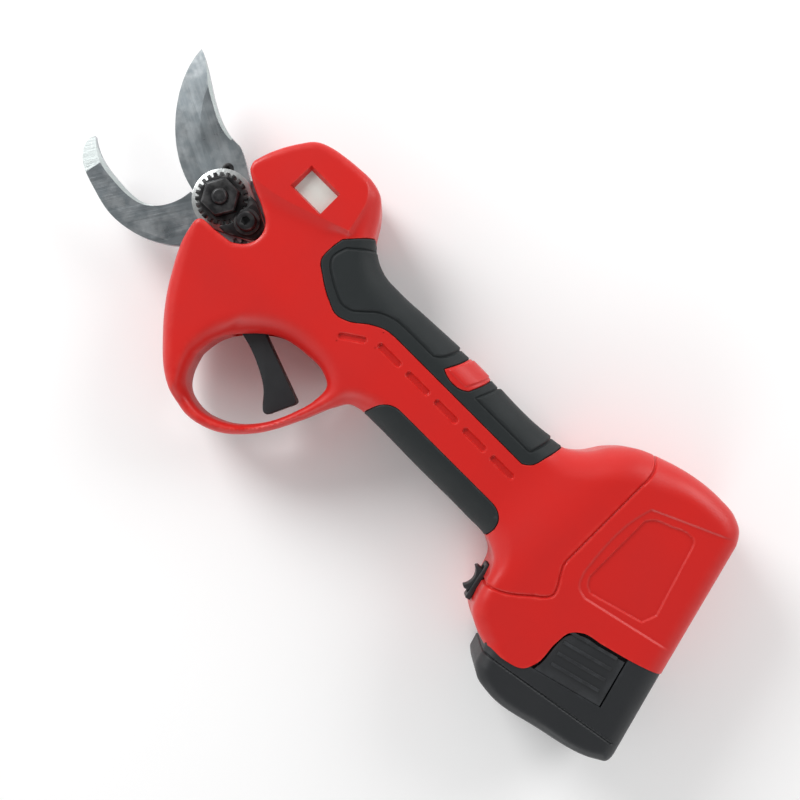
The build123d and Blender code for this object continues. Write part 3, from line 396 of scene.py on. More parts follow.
sideRecess = region([(192.2, 25.5), (194.2, 28), (200.5, 31), (207, 33.4), (209.6, 33), (211, 30.5)],
                    [(211, 30.5), (219, 4.5)], [(219, 4.5), (217, -0.8)], [(217, -0.8), (196.8, -6.5)],
                    [(196.8, -6.5), (194.3, -5.4), (192.2, -2.3)], [(192.2, -2.3), (192.2, 25.5)])
rearGroove = fence(np.vstack([through([(176.5, 50), (180.4, 45), (182.3, 40), (182.4, 34)])[:-1],
                              through([(182.4, 34), (182.4, -3)])[:-1],
                              through([(182.4, -3), (182.6, -6), (184.4, -9.5), (187.2, -14.6), (187.6, -16.6),
                                       (186.4, -18.6), (183, -21.4)])[:-1],
                              through([(183, -21.4), (173, -29), (166, -31.4)])]), closed=False)
slotSpans = [((81.1, 3), (90, 3)), ((95.5, 3), (104.4, 3)), ((109.9, 3), (118.8, 3)), ((124.3, 3), (133.2, 3)),
             ((138.4, 3), (147.3, 3)), ((68.2, -4.4), (75, 0.2))]
slotHalf = 1.1
seamLine = fence(through([(170.2, -50.9), (240.7, -39.3)]), closed=False)


def slotReach(xy):
    best = np.full(len(xy), -3.0)
    for start, end in slotSpans:
        a, run = np.array(start), np.array(end) - np.array(start)
        t = np.clip((xy - a) @ run / (run @ run), 0, 1)[:, None]
        best = np.maximum(best, slotHalf - np.hypot(*(xy - a - t * run).T))
    return best


def gripReach(xy):
    return np.maximum(np.minimum(inside(spineWalls, xy), -inside(padWalls, xy)), inside(palmWalls, xy))


def grooveReach(xy):
    return np.abs(inside(rearGroove, xy, 4.0))


def redRelief(xy):
    # how far the red surface stands out from the plain form
    rise = -body["gripSeat"] * ease(-0.16, 0.16, gripReach(xy))
    rise -= body["slotDepth"] * ease(-0.3, 0.25, slotReach(xy))
    near = np.clip(grooveReach(xy) / body["grooveWidth"], 0, 1)
    rise -= body["groove"] * (1 - near**2) ** 2
    fromBack = (xy - (223.3, 43)) @ (-0.968, -0.25)
    rise -= 0.6 * ease(-0.6, 0.35, inside(sidePanel, xy)) * ease(0.5, 9, fromBack)
    rise -= 0.7 * ease(-0.3, 0.25, inside(sideRecess, xy))
    rise += 0.3 * ease(-0.1, 0.5, inside(padWalls, xy)) + 0.5 * ease(-0.25, 0.3, inside(keyWalls, xy))
    return rise


def gripRelief(xy):
    reach = gripReach(xy)
    rise = 0.22 - 1.5 * ease(0.35, -0.35, reach)
    for panel in (frontPanel, backPanel):
        deep = inside(panel, xy)
        rise += 0.6 * ease(0.05, 0.75, deep) - 0.45 * np.clip(1 - (np.abs(deep + 0.1) / 0.45) ** 2, 0, 1) ** 2
    return rise


def featureReach(xy):
    regions = (spineWalls, palmWalls, padWalls, keyWalls, frontPanel, backPanel, sidePanel, sideRecess, plateauWalls)
    reaches = [np.abs(inside(walls, xy)) for walls in regions]
    seam = np.abs(inside(seamLine, xy, 4.0))
    return np.min(reaches + [np.abs(slotReach(xy)), grooveReach(xy), seam], axis=0)


def refine(bm, bands):
    # smaller faces only along the drawn lines
    for band in bands:
        bm.verts.ensure_lookup_table()
        points = (np.array([v.co for v in bm.verts]) - np.array(toolOrigin)) / mm
        near = featureReach(points[:, :2]) < band
        bm.verts.index_update()
        bmesh.ops.subdivide_edges(bm, cuts=1, use_grid_fill=True,
                                  edges=[e for e in bm.edges if near[e.verts[0].index] and near[e.verts[1].index]])


def halfForm():
    # one side of the plain rounded form, open at the parting plane
    form = remeshed(prism("form", [bodyLoop, fingerLoop], -16, 16), body["voxel"])
    points = toTool(form.data)
    points[:, 2] *= halfThickness(points[:, :2]) / 16
    fromTool(form.data, project(points))
    bm = bmesh.new()
    bm.from_mesh(form.data)
    for _ in range(3):
        bmesh.ops.smooth_vert(bm, verts=bm.verts, factor=0.5, use_axis_x=True, use_axis_y=True, use_axis_z=True)
    bm.to_mesh(form.data)
    fromTool(form.data, project(toTool(form.data)))
    bm.clear()
    bm.from_mesh(form.data)
    bmesh.ops.bisect_plane(bm, geom=bm.verts[:] + bm.edges[:] + bm.faces[:], dist=1e-7, plane_co=toolOrigin,
                           plane_no=(0, 0, 1), clear_inner=True)
    refine(bm, (2.2, 1.2))
    bmesh.ops.triangulate(bm, faces=[f for f in bm.faces if len(f.verts) > 4])
    bm.to_mesh(form.data)
    bm.free()
    points = toTool(form.data)
    rim = np.abs(points[:, 2]) < 0.01
    points = project(points)
    points[rim, 2] = 0
    fromTool(form.data, points)
    return form


print("rounded form")
form = halfForm()
formPoints = toTool(form.data)
formNormals = np.array([v.normal for v in form.data.vertices])
onRim = formPoints[:, 2] < 0.01
formNormals[onRim, 2] = 0
formNormals /= np.hypot(np.hypot(formNormals[:, 0], formNormals[:, 1]), formNormals[:, 2])[:, None]
print("faces", len(form.data.polygons))


# ---- shader groups
def socketGroup(name, inputs, outputs):
    group = bpy.data.node_groups.new(name, "ShaderNodeTree")
    for label, kind, value in inputs:
        socket = group.interface.new_socket(label, in_out="INPUT", socket_type="NodeSocket" + kind)
        socket.default_value = value
    for label, kind in outputs:
        group.interface.new_socket(label, in_out="OUTPUT", socket_type="NodeSocket" + kind)
    return group, group.nodes.new("NodeGroupInput"), group.nodes.new("NodeGroupOutput")


def addNode(tree, kind, values=(), **settings):
    made = tree.nodes.new("ShaderNode" + kind)
    for label, value in settings.items():
        setattr(made, label, value)
    for label, value in dict(values).items():
        socket = made.inputs[label]
        if isinstance(value, bpy.types.NodeSocket):
            tree.links.new(value, socket)
        else:
            socket.default_value = value
    return made


def mouldGrainGroup():
    # fine spark-eroded grain of a moulding tool, with uneven sheen from handling
    tree, given, out = socketGroup("mouldGrain", [("Grain Size", "Float", 3000.0), ("Grain Height", "Float", 0.02),
                                                  ("Roughness", "Float", 0.4), ("Uneven", "Float", 0.1)],
                                   [("Roughness", "Float"), ("Shade", "Float"), ("Normal", "Vector")])
    place = addNode(tree, "TexCoord").outputs["Object"]
    grain = addNode(tree, "TexNoise", {"Vector": place, "Scale": given.outputs["Grain Size"], "Detail": 3.0})
    broad = addNode(tree, "TexNoise", {"Vector": place, "Scale": 42.0, "Detail": 4.0})
    spread = addNode(tree, "MapRange", {"Value": broad.outputs["Fac"], "From Min": 0.3, "From Max": 0.7,
                                        "To Min": -0.5, "To Max": 0.5})
    scaled = addNode(tree, "Math", {0: spread.outputs["Result"], 1: given.outputs["Uneven"]}, operation="MULTIPLY")
    total = addNode(tree, "Math", {0: scaled.outputs[0], 1: given.outputs["Roughness"]}, operation="ADD")
    bump = addNode(tree, "Bump", {"Height": grain.outputs["Fac"], "Strength": given.outputs["Grain Height"],
                                  "Distance": 0.0004})
    tree.links.new(total.outputs[0], out.inputs["Roughness"])
    tree.links.new(broad.outputs["Fac"], out.inputs["Shade"])
    tree.links.new(bump.outputs["Normal"], out.inputs["Normal"])
    return tree


def rubbedEdgeGroup():
    # outer corners that have lost their bloom, broken up so the line is not even
    tree, given, out = socketGroup("rubbedEdge", [("Amount", "Float", 0.5), ("Width", "Float", 0.06)],
                                   [("Mask", "Float")])
    bend = addNode(tree, "NewGeometry").outputs["Pointiness"]
    place = addNode(tree, "TexCoord").outputs["Object"]
    patch = addNode(tree, "TexNoise", {"Vector": place, "Scale": 260.0, "Detail": 5.0})
    top = addNode(tree, "Math", {0: given.outputs["Width"], 1: 0.505}, operation="ADD")
    raised = addNode(tree, "MapRange", {"Value": bend, "From Min": 0.505, "From Max": top.outputs[0]})
    broken = addNode(tree, "MapRange", {"Value": patch.outputs["Fac"], "From Min": 0.4, "From Max": 0.62})
    mixed = addNode(tree, "Math", {0: raised.outputs["Result"], 1: broken.outputs["Result"]}, operation="MULTIPLY")
    scaled = addNode(tree, "Math", {0: mixed.outputs[0], 1: given.outputs["Amount"]}, operation="MULTIPLY")
    tree.links.new(scaled.outputs[0], out.inputs["Mask"])
    return tree


def grindGroup():
    # marks of a grinding wheel along one direction of the plan
    tree, given, out = socketGroup("grindMarks", [("Turn", "Float", 0.0), ("Fineness", "Float", 900.0),
                                                  ("Depth", "Float", 0.1)],
                                   [("Streak", "Float"), ("Cloud", "Float"), ("Normal", "Vector")])
    place = addNode(tree, "TexCoord").outputs["Object"]
    turned = addNode(tree, "VectorRotate", {"Vector": place, "Axis": (0, 0, 1), "Angle": given.outputs["Turn"]},
                     rotation_type="AXIS_ANGLE")
    stretched = addNode(tree, "VectorMath", {0: turned.outputs["Vector"], 1: (0.035, 1.0, 0.2)}, operation="MULTIPLY")
    fine = addNode(tree, "TexNoise", {"Vector": stretched.outputs["Vector"], "Scale": given.outputs["Fineness"],
                                      "Detail": 6.0, "Roughness": 0.7})
    cloud = addNode(tree, "TexNoise", {"Vector": place, "Scale": 90.0, "Detail": 5.0, "Roughness": 0.6})
    bump = addNode(tree, "Bump", {"Height": fine.outputs["Fac"], "Strength": given.outputs["Depth"],
                                  "Distance": 0.0003})
    tree.links.new(fine.outputs["Fac"], out.inputs["Streak"])
    tree.links.new(cloud.outputs["Fac"], out.inputs["Cloud"])
    tree.links.new(bump.outputs["Normal"], out.inputs["Normal"])
    return tree


print("shader groups")
mouldGrain = mouldGrainGroup()
rubbedEdge = rubbedEdgeGroup()
grindMarks = grindGroup()


def newMaterial(name, **plain):
    made = bpy.data.materials.new(name)
    made.use_nodes = True
    shader = made.node_tree.nodes["Principled BSDF"]
    for label, value in plain.items():
        shader.inputs[label.replace("_", " ")].default_value = value
    return made, made.node_tree, shader


def groupNode(tree, group, **values):
    made = tree.nodes.new("ShaderNodeGroup")
    made.node_tree = group
    for label, value in values.items():
        made.inputs[label.replace("_", " ")].default_value = value
    return made


def mixColour(tree, factor, first, second):
    made = addNode(tree, "Mix", data_type="RGBA")
    for socket, value in ((made.inputs[0], factor), (made.inputs[6], first), (made.inputs[7], second)):
        if isinstance(value, bpy.types.NodeSocket):
            tree.links.new(value, socket)
        else:
            socket.default_value = value
    return made.outputs[2]


def plasticMaterial(name, finish):
    made, tree, shader = newMaterial(name, **finish.get("shader", {}))
    grain = groupNode(tree, mouldGrain, Grain_Size=finish["grain"], Grain_Height=finish["height"],
                      Roughness=finish["roughness"], Uneven=finish["uneven"])
    wear = groupNode(tree, rubbedEdge, Amount=finish["wear"], Width=0.05)
    shaded = mixColour(tree, grain.outputs["Shade"], finish["colour"], finish["deep"])
    worn = mixColour(tree, wear.outputs["Mask"], shaded, finish["rubbed"])
    tree.links.new(worn, shader.inputs["Base Color"])
    tree.links.new(grain.outputs["Roughness"], shader.inputs["Roughness"])
    tree.links.new(grain.outputs["Normal"], shader.inputs["Normal"])
    return made


def metalMaterial(name, finish):
    made, tree, shader = newMaterial(name, Metallic=finish.get("metallic", 1.0))
    marks = groupNode(tree, grindMarks, Turn=radians(finish["turn"]), Fineness=finish["fineness"],
                      Depth=finish["depth"])
    wear = groupNode(tree, rubbedEdge, Amount=finish["wear"], Width=0.05)
    streaked = mixColour(tree, marks.outputs["Streak"], finish["dark"], finish["light"])
    haze = addNode(tree, "MapRange", {"Value": marks.outputs["Cloud"], "From Min": 0.4, "From Max": 0.75,
                                      "To Max": finish.get("haze", 0.5)})
    clouded = mixColour(tree, haze.outputs["Result"], streaked, finish["dark"])
    worn = mixColour(tree, wear.outputs["Mask"], clouded, finish["rubbed"])
    rough = addNode(tree, "MapRange", {"Value": marks.outputs["Cloud"], "From Min": 0.3, "From Max": 0.7,
                                       "To Min": finish["roughness"] - 0.08, "To Max": finish["roughness"] + 0.08})
    tree.links.new(worn, shader.inputs["Base Color"])
    tree.links.new(rough.outputs["Result"], shader.inputs["Roughness"])
    tree.links.new(marks.outputs["Normal"], shader.inputs["Normal"])
    return made


redFinish = {"colour": (0.61, 0.017, 0.013, 1), "deep": (0.50, 0.011, 0.009, 1), "rubbed": (0.74, 0.08, 0.06, 1),
             "grain": 3600.0, "height": 0.12, "roughness": 0.36, "uneven": 0.10, "wear": 0.35,
             "shader": {"Specular_IOR_Level": 0.38}}
rubberFinish = {"colour": (0.014, 0.018, 0.019, 1), "deep": (0.010, 0.013, 0.014, 1), "rubbed": (0.04, 0.045, 0.048, 1),
                "grain": 5200.0, "height": 0.2, "roughness": 0.6, "uneven": 0.14, "wear": 0.4,
                "shader": {"Specular_IOR_Level": 0.3}}
batteryFinish = {"colour": (0.013, 0.015, 0.017, 1), "deep": (0.009, 0.010, 0.012, 1),
                 "rubbed": (0.04, 0.044, 0.05, 1), "grain": 3200.0, "height": 0.18, "roughness": 0.5,
                 "uneven": 0.12, "wear": 0.4, "shader": {"Specular_IOR_Level": 0.5}}
bladeFinish = {"dark": (0.17, 0.20, 0.215, 1), "light": (0.50, 0.55, 0.58, 1), "rubbed": (0.7, 0.72, 0.73, 1),
               "turn": -154.0, "fineness": 620.0, "depth": 0.3, "roughness": 0.34, "wear": 0.5, "haze": 0.25}
hookFinish = dict(bladeFinish, turn=-58.0, dark=(0.19, 0.22, 0.235, 1), light=(0.42, 0.46, 0.49, 1), haze=0.4)
groundFinish = {"dark": (0.42, 0.46, 0.46, 1), "light": (0.60, 0.65, 0.64, 1), "rubbed": (0.6, 0.6, 0.6, 1),
                "turn": 120.0, "fineness": 1800.0, "depth": 0.25, "roughness": 0.42, "wear": 0.2, "haze": 0.2}
plateFinish = {"dark": (0.36, 0.38, 0.38, 1), "light": (0.62, 0.64, 0.63, 1), "rubbed": (0.85, 0.85, 0.85, 1),
               "turn": 70.0, "fineness": 1100.0, "depth": 0.2, "roughness": 0.33, "wear": 0.4}
oxideFinish = {"dark": (0.010, 0.010, 0.011, 1), "light": (0.030, 0.030, 0.032, 1), "rubbed": (0.2, 0.2, 0.2, 1),
               "turn": 15.0, "fineness": 800.0, "depth": 0.2, "roughness": 0.38, "wear": 0.5, "metallic": 0.6}
castFinish = {"dark": (0.30, 0.31, 0.31, 1), "light": (0.45, 0.46, 0.46, 1), "rubbed": (0.7, 0.7, 0.7, 1),
              "turn": 0.0, "fineness": 500.0, "depth": 0.3, "roughness": 0.5, "wear": 0.4}
machinedFinish = dict(plateFinish, turn=10.0, roughness=0.28)

redPlastic = plasticMaterial("redPlastic", redFinish)
gripRubber = plasticMaterial("gripRubber", rubberFinish)
batteryPlastic = plasticMaterial("batteryPlastic", batteryFinish)
bladeSteel = metalMaterial("bladeSteel", bladeFinish)
hookSteel = metalMaterial("hookSteel", hookFinish)
groundSteel = metalMaterial("groundSteel", groundFinish)
plateSteel = metalMaterial("plateSteel", plateFinish)
blackOxide = metalMaterial("blackOxide", oxideFinish)
castAlloy = metalMaterial("castAlloy", castFinish)
machinedSteel = metalMaterial("machinedSteel", machinedFinish)


def displayMaterial():
    # pale panel under a clear pane, slightly cloudy, with a faint row grid
    made, tree, shader = newMaterial("displayPane", Roughness=0.16, Coat_Weight=0.6, Coat_Roughness=0.08)
    place = addNode(tree, "TexCoord").outputs["Object"]
    cloud = addNode(tree, "TexNoise", {"Vector": place, "Scale": 130.0, "Detail": 3.0})
    grid = addNode(tree, "TexBrick", {"Vector": place, "Scale": 900.0, "Mortar Size": 0.03,
                                      "Color1": (0.66, 0.69, 0.645, 1), "Color2": (0.67, 0.70, 0.65, 1),
                                      "Mortar": (0.63, 0.66, 0.615, 1)})
    colour = mixColour(tree, cloud.outputs["Fac"], grid.outputs["Color"], (0.71, 0.735, 0.695, 1))
    tree.links.new(colour, shader.inputs["Base Color"])
    return made


def boardMaterial():
    made, tree, shader = newMaterial("greenBoard", Specular_IOR_Level=0.5)
    place = addNode(tree, "TexCoord").outputs["Object"]
    tracks = addNode(tree, "TexVoronoi", {"Vector": place, "Scale": 700.0}, feature="DISTANCE_TO_EDGE")
    lines = addNode(tree, "MapRange", {"Value": tracks.outputs["Distance"], "From Min": 0.02, "From Max": 0.06})
    colour = mixColour(tree, lines.outputs["Result"], (0.03, 0.24, 0.11, 1), (0.012, 0.11, 0.05, 1))
    tree.links.new(colour, shader.inputs["Base Color"])
    tree.links.new(addNode(tree, "MapRange", {"Value": tracks.outputs["Distance"], "To Min": 0.3,
                                              "To Max": 0.5}).outputs["Result"], shader.inputs["Roughness"])
    return made


def wrapMaterial():
    made, tree, shader = newMaterial("cellWrap", Coat_Weight=0.3)
    place = addNode(tree, "TexCoord").outputs["Object"]
    creases = addNode(tree, "TexNoise", {"Vector": place, "Scale": 160.0, "Detail": 4.0})
    # colour follows the crease height: the low folds are darker, which is painted shade in the creases on top of the
    # bump
    colour = mixColour(tree, creases.outputs["Fac"], (0.03, 0.12, 0.36, 1), (0.05, 0.2, 0.5, 1))
    bump = addNode(tree, "Bump", {"Height": creases.outputs["Fac"], "Strength": 0.3, "Distance": 0.0005})
    tree.links.new(colour, shader.inputs["Base Color"])
    tree.links.new(addNode(tree, "MapRange", {"Value": creases.outputs["Fac"], "To Min": 0.2,
                                              "To Max": 0.45}).outputs["Result"], shader.inputs["Roughness"])
    tree.links.new(bump.outputs["Normal"], shader.inputs["Normal"])
    return made


displayPane = displayMaterial()
greenBoard = boardMaterial()
cellWrap = wrapMaterial()
contactFinish = dict(machinedFinish, dark=(0.55, 0.38, 0.14, 1), light=(0.8, 0.6, 0.28, 1))
contactBrass = metalMaterial("contactBrass", contactFinish)

nodeFinishes = {
    "moving_blade": bladeSteel, "fixed_blade": hookSteel, "cover_plate": plateSteel, "lock_disc": blackOxide,
    "lock_tab": blackOxide, "lock_screw": blackOxide, "pivot_bolt": blackOxide, "pivot_nut": blackOxide,
    "blade_dowel": blackOxide, "blade_screws": blackOxide, "housing_screws": blackOxide, "gear_case": castAlloy,
    "bearings": machinedSteel, "bevel_gear": machinedSteel, "bevel_pinion": machinedSteel,
    "pinion_shaft": machinedSteel, "output_shaft": machinedSteel, "gearbox": machinedSteel,
    "motor": plateSteel, "trigger_pin": machinedSteel, "trigger_spring": machinedSteel,
    "control_board": greenBoard, "battery_board": greenBoard, "trigger_sensor_board": greenBoard,
    "display_board": greenBoard, "display_window": displayPane, "cells": cellWrap,
    "battery_contacts": contactBrass, "terminal_block": batteryPlastic, "switch_body": batteryPlastic,
    "switch_rocker": batteryPlastic, "trigger": batteryPlastic, "battery_case": batteryPlastic,
    "battery_base": batteryPlastic, "latch_left": batteryPlastic, "latch_right": batteryPlastic,
    "left_housing": redPlastic, "right_housing": redPlastic, "spine_grip": gripRubber, "palm_grip": gripRubber,
}
for node, finish in nodeFinishes.items():
    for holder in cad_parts[node].material_slots:
        holder.material = finish


def finished(piece, material, body, node, sharp=38):
    piece.data.materials.clear()
    piece.data.materials.append(material)
    for face in piece.data.polygons:
        face.use_smooth = True
        face.material_index = 0
    piece.data.set_sharp_from_angle(angle=radians(sharp))
    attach(piece, body)
    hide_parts(node)
    print(piece.name, len(piece.data.polygons), "faces")


# ---- housing halves
def outlineOf(*runs):
    return closedLoop(runs)


lean = radians(14.8)
outDir, inDir = np.array([sin(lean), -cos(lean)]), np.array([-cos(lean), -sin(lean)])
backCorner = np.array([236.5, -8.8])


def atPack(inwards, out):
    return tuple(backCorner + inDir * inwards + outDir * out)


def box2(v0, v1, u0, u1):
    return np.array([atPack(v0, u0), atPack(v1, u0), atPack(v1, u1), atPack(v0, u1)])


packTop, packHalf = -37.8, 19.1
batteryEdge = [(240, -6.5), (236.6, -8.5), (227.5, -12), (212.4, -16.2), (204.6, -18.2), (201, -21.6),
               (200, -28), (200.3, -37.5), (198.4, -42), (191, -44.9), (184, -45.6), (178, -52)]
batteryTop = through(batteryEdge)
batterySide = np.array([(178, -80), (262, -80), (262, -6.5)])
switchAt, switchOut = np.array([168.3, -32.8]), np.array([-0.9777, -0.21])
switchAlong = np.array([0.21, -0.9777])


def onSwitch(length, low, high):
    ends = ((-1, low), (1, low), (1, high), (-1, high))
    return np.array([switchAt + switchAlong * s * length / 2 + switchOut * h for s, h in ends])


def shifted(points, side):
    # an outline moved to its left by side
    along = np.gradient(points, axis=0)
    along /= np.hypot(*along.T)[:, None]
    return points + np.stack([-along[:, 1], along[:, 0]], 1) * side


def capped(name, relief, cut=None):
    # the half form with its relief, still open at the parting plane
    piece = bpy.data.objects.new(name, form.data.copy())
    bpy.context.scene.collection.objects.link(piece)
    rise = relief(formPoints[:, :2])
    points = formPoints + formNormals * rise[:, None]
    fromTool(piece.data, points)
    return piece


def closeRim(piece):
    bm = bmesh.new()
    bm.from_mesh(piece.data)
    rim = [e for e in bm.edges if e.is_boundary]
    bmesh.ops.triangle_fill(bm, use_beauty=True, edges=rim)
    bmesh.ops.recalc_face_normals(bm, faces=bm.faces)
    bm.to_mesh(piece.data)
    bm.free()


def mirrored(piece):
    bm = bmesh.new()
    bm.from_mesh(piece.data)
    bmesh.ops.scale(bm, verts=bm.verts, vec=(1, 1, -1), space=Matrix.Translation(-toolOrigin))
    bmesh.ops.reverse_faces(bm, faces=bm.faces)
    bm.to_mesh(piece.data)
    bm.free()
    return piece


def funnel(name, lower, upper, low, high):
    # a solid that widens from one outline to another, carried on above the upper one
    piece = prism(name, [lower], low, high)
    slope = [(a[0] - b[0], a[1] - b[1]) for a, b in zip(upper, lower)]
    points = toTool(piece.data)
    for n in np.flatnonzero(points[:, 2] > (low + high) / 2):
        x, y, _ = points[n]
        corner = int(np.argmin([np.hypot(x - p, y - q) for p, q in lower]))
        points[n] += (1.6 * slope[corner][0], 1.6 * slope[corner][1], 0.6 * (high - low))
    fromTool(piece.data, points)
    return piece


windowGlass = [(18.3, 21.6), (31.6, 21.6), (31.6, 30.4), (18.3, 30.4)]
windowMouth = [(17.2, 20.9), (32.1, 20.9), (32.1, 31.7), (17.2, 31.7)]
seamGap = 0.06
caseRoom = [(-20, -20), (4, -20.4), (8.5, -20.4), (24, -6.6), (26, 0), (24, 6.6), (9.6, 17.2), (6, 19), (-20, 30)]
screwPoints = [(14, 31), (49, 19.5), (11, -28), (25, -42), (90, 17.6), (130, 17.6), (165, -13), (174, 37),
               (214, 43.5)]


def housingTools(side):
    # everything taken out of one half; side is 1 for the upper half and -1 for the lower
    def span(near, far):
        return tuple(sorted((side * near, side * far)))
    slab = [("seam", [(-80, -90), (280, -90), (280, 90), (-80, 90)], -1.0, seamGap),
            ("headRoom", [(24, -8), (40, -13.5), (64, -13.5), (64, 14), (24, 14)], -1, 14.4),
            ("gripRoom", [(60, -13.5), (160, -13.5), (160, 14), (60, 14)], -1, 14.4),
            ("rearRoom", [(158, -8), (170, -8), (172, -24), (176, -36), (193, -38), (196, -20), (222, -6), (218, 36),
                          (208, 39.5), (180, 32), (168, 24), (158, 14)], -1, 18.6),
            ("bay", box2(2.7, 61.2, packTop, 70), -1, packHalf),
            ("triggerSlot", [(38.6, -33.5), (36, -26), (36, -18), (40.5, -14.8), (47.5, -16), (54, -20), (54, -34)],
             -1, 5.9),
            ("switchSeat", onSwitch(15.3, -0.6, 12), -1, 5.3),
            ("switchWell", onSwitch(13.2, -12, 1), -1, 4.5),
            ("caseRoom", caseRoom, -1, 4.6 if side > 0 else 15.1),
            ("battery", np.vstack([shifted(batteryTop, 0.25), batterySide]), -1, 40)]
    if side > 0:
        slab += [("window", windowGlass, 8, 40),
                 ("displayRoom", [(17.3, 17.8), (35.2, 17.8), (35.2, 32.6), (17.3, 32.6)], 8.8, 14.3)]
    else:
        slab += [("screwWell", [(x + 3 * cos(a), y + 3 * sin(a)) for a in np.linspace(0, 2 * pi, 33)[:-1]], 8, 40)
                 for x, y in screwPoints]
    tools = [prism(name, [outline], *span(low, high)) for name, outline, low, high in slab]
    if side > 0:
        tools.append(funnel("windowSlope", windowGlass, windowMouth, 15.9, 19.0))
    return tools


print("housing halves")
leftShell = capped("leftShell", redRelief)
closeRim(leftShell)
rightShell = bpy.data.objects.new("rightShell", leftShell.data.copy())
bpy.context.scene.collection.objects.link(rightShell)
mirrored(rightShell)
cutBy(leftShell, housingTools(1))
cutBy(rightShell, housingTools(-1))
for shell, node in ((leftShell, "left_housing"), (rightShell, "right_housing")):
    finished(shell, redPlastic, "handle", node)


# ---- rubber grips
def gripPiece(name, walls, opening, node):
    piece = capped(name, gripRelief)
    reach = inside(walls, formPoints[:, :2])
    if opening:
        reach = np.minimum(reach, -inside(opening, formPoints[:, :2]))
    bm = bmesh.new()
    bm.from_mesh(piece.data)
    bm.verts.ensure_lookup_table()
    away = [v for v in bm.verts if reach[v.index] < -0.55]
    bmesh.ops.delete(bm, geom=away, context="VERTS")
    double = bmesh.ops.duplicate(bm, geom=bm.verts[:] + bm.edges[:] + bm.faces[:])["geom"]
    bmesh.ops.scale(bm, verts=[v for v in double if isinstance(v, bmesh.types.BMVert)], vec=(1, 1, -1),
                    space=Matrix.Translation(-toolOrigin))
    bmesh.ops.reverse_faces(bm, faces=[f for f in double if isinstance(f, bmesh.types.BMFace)])
    bmesh.ops.remove_doubles(bm, verts=bm.verts, dist=0.02 * mm)
    bm.to_mesh(piece.data)
    bm.free()
    wall = piece.modifiers.new("thickness", "SOLIDIFY")
    wall.thickness = 0.9 * mm
    wall.offset = -1
    settle(piece)
    piece.data.materials.clear()
    piece.data.materials.append(gripRubber)
    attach(piece, "handle")
    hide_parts(node)
    print(piece.name, len(piece.data.polygons), "faces")
    return piece


print("rubber grips")
gripPiece("spineRubber", spineWalls, padWalls, "spine_grip")
gripPiece("palmRubber", palmWalls, None, "palm_grip")


# ---- battery: the outside continues the housing form, a little inside it
battery = {"setBack": 0.35, "seam": 0.5, "seamWidth": 0.5, "tongueHalf": 18.8, "cellHalf": 17.3}


def batteryRelief(xy):
    near = np.clip(np.abs(inside(seamLine, xy)) / battery["seamWidth"], 0, 1)
    return -battery["setBack"] - battery["seam"] * (1 - near**2) ** 2


def wholeForm(name, relief):
    piece = capped(name, relief)
    bm = bmesh.new()
    bm.from_mesh(piece.data)
    bm.verts.ensure_lookup_table()
    away = [v for v in bm.verts if formPoints[v.index, 0] < 160]
    bmesh.ops.delete(bm, geom=away, context="VERTS")
    double = bmesh.ops.duplicate(bm, geom=bm.verts[:] + bm.edges[:] + bm.faces[:])["geom"]
    bmesh.ops.scale(bm, verts=[v for v in double if isinstance(v, bmesh.types.BMVert)], vec=(1, 1, -1),
                    space=Matrix.Translation(-toolOrigin))
    bmesh.ops.reverse_faces(bm, faces=[f for f in double if isinstance(f, bmesh.types.BMFace)])
    bmesh.ops.remove_doubles(bm, verts=bm.verts, dist=0.02 * mm)
    bmesh.ops.holes_fill(bm, edges=[e for e in bm.edges if e.is_boundary], sides=0)
    bmesh.ops.recalc_face_normals(bm, faces=bm.faces)
    bm.to_mesh(piece.data)
    bm.free()
    return piece


print("battery")
caseRegion = np.vstack([shifted(batteryTop, -0.12), [atPack(75, 23.4), atPack(61, 24.9), atPack(-12, 31)]])
baseRegion = np.array([atPack(-12, 31.1), atPack(61, 25.0), atPack(75, 23.5), atPack(75, 70), atPack(-12, 70)])
cellRoom = box2(4.4, 59.4, -36, 31.6)
latchPocket = box2(14.4, 44.1, -15, 21.08)
tongueOutline = np.array([atPack(v, u) for v, u in (
    (2.9, -37.5), (60.9, -37.5), (60.9, 21.4), (59.4, 22.5), (52, 23.6), (45.4, 23.2), (41.8, 17), (39.6, 8),
    (36.4, 2.6), (31, 1.6), (2.9, 1.2))])
batteryShell = cutBy(wholeForm("batteryShell", batteryRelief), [prism("case", [caseRegion], -40, 40)], "INTERSECT")
cutBy(batteryShell, [prism("tongue", [tongueOutline], -18.8, 18.8)], "UNION")
cutBy(batteryShell, [prism("cellRoom", [cellRoom], -17.3, 17.3), prism("leftPocket", [latchPocket], 18.42, 40),
                     prism("rightPocket", [latchPocket], -40, -18.42)])
finished(batteryShell, batteryPlastic, "battery", "battery_case")
batteryFoot = cutBy(wholeForm("batteryFoot", batteryRelief), [prism("base", [baseRegion], -40, 40)], "INTERSECT")
cutBy(batteryFoot, [prism("cellRoom", [cellRoom], -17.3, 17.3)])
finished(batteryFoot, batteryPlastic, "battery", "battery_base")
bpy.data.objects.remove(form)

# ---- blades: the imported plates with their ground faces
print("blades")
movingGrind = {"width": 9.5, "edge": 3.35, "back": 1.2, "backDepth": 0.45}
bladeTop = 4.1


def groundPiece(node, name, tools, material, body, level):
    # faces whose upward lean is below the level count as ground
    piece = newPiece(name, nodeCopy(node, name), material, smooth=False)
    piece.data.materials.append(groundSteel)
    cutBy(piece, tools)
    piece.data.materials.clear()
    piece.data.materials.append(material)
    piece.data.materials.append(groundSteel)
    for face in piece.data.polygons:
        face.use_smooth = True
        face.material_index = 1 if 0.3 < face.normal.z < level else 0
    piece.data.set_sharp_from_angle(angle=radians(6))
    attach(piece, body)
    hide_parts(node)
    return piece


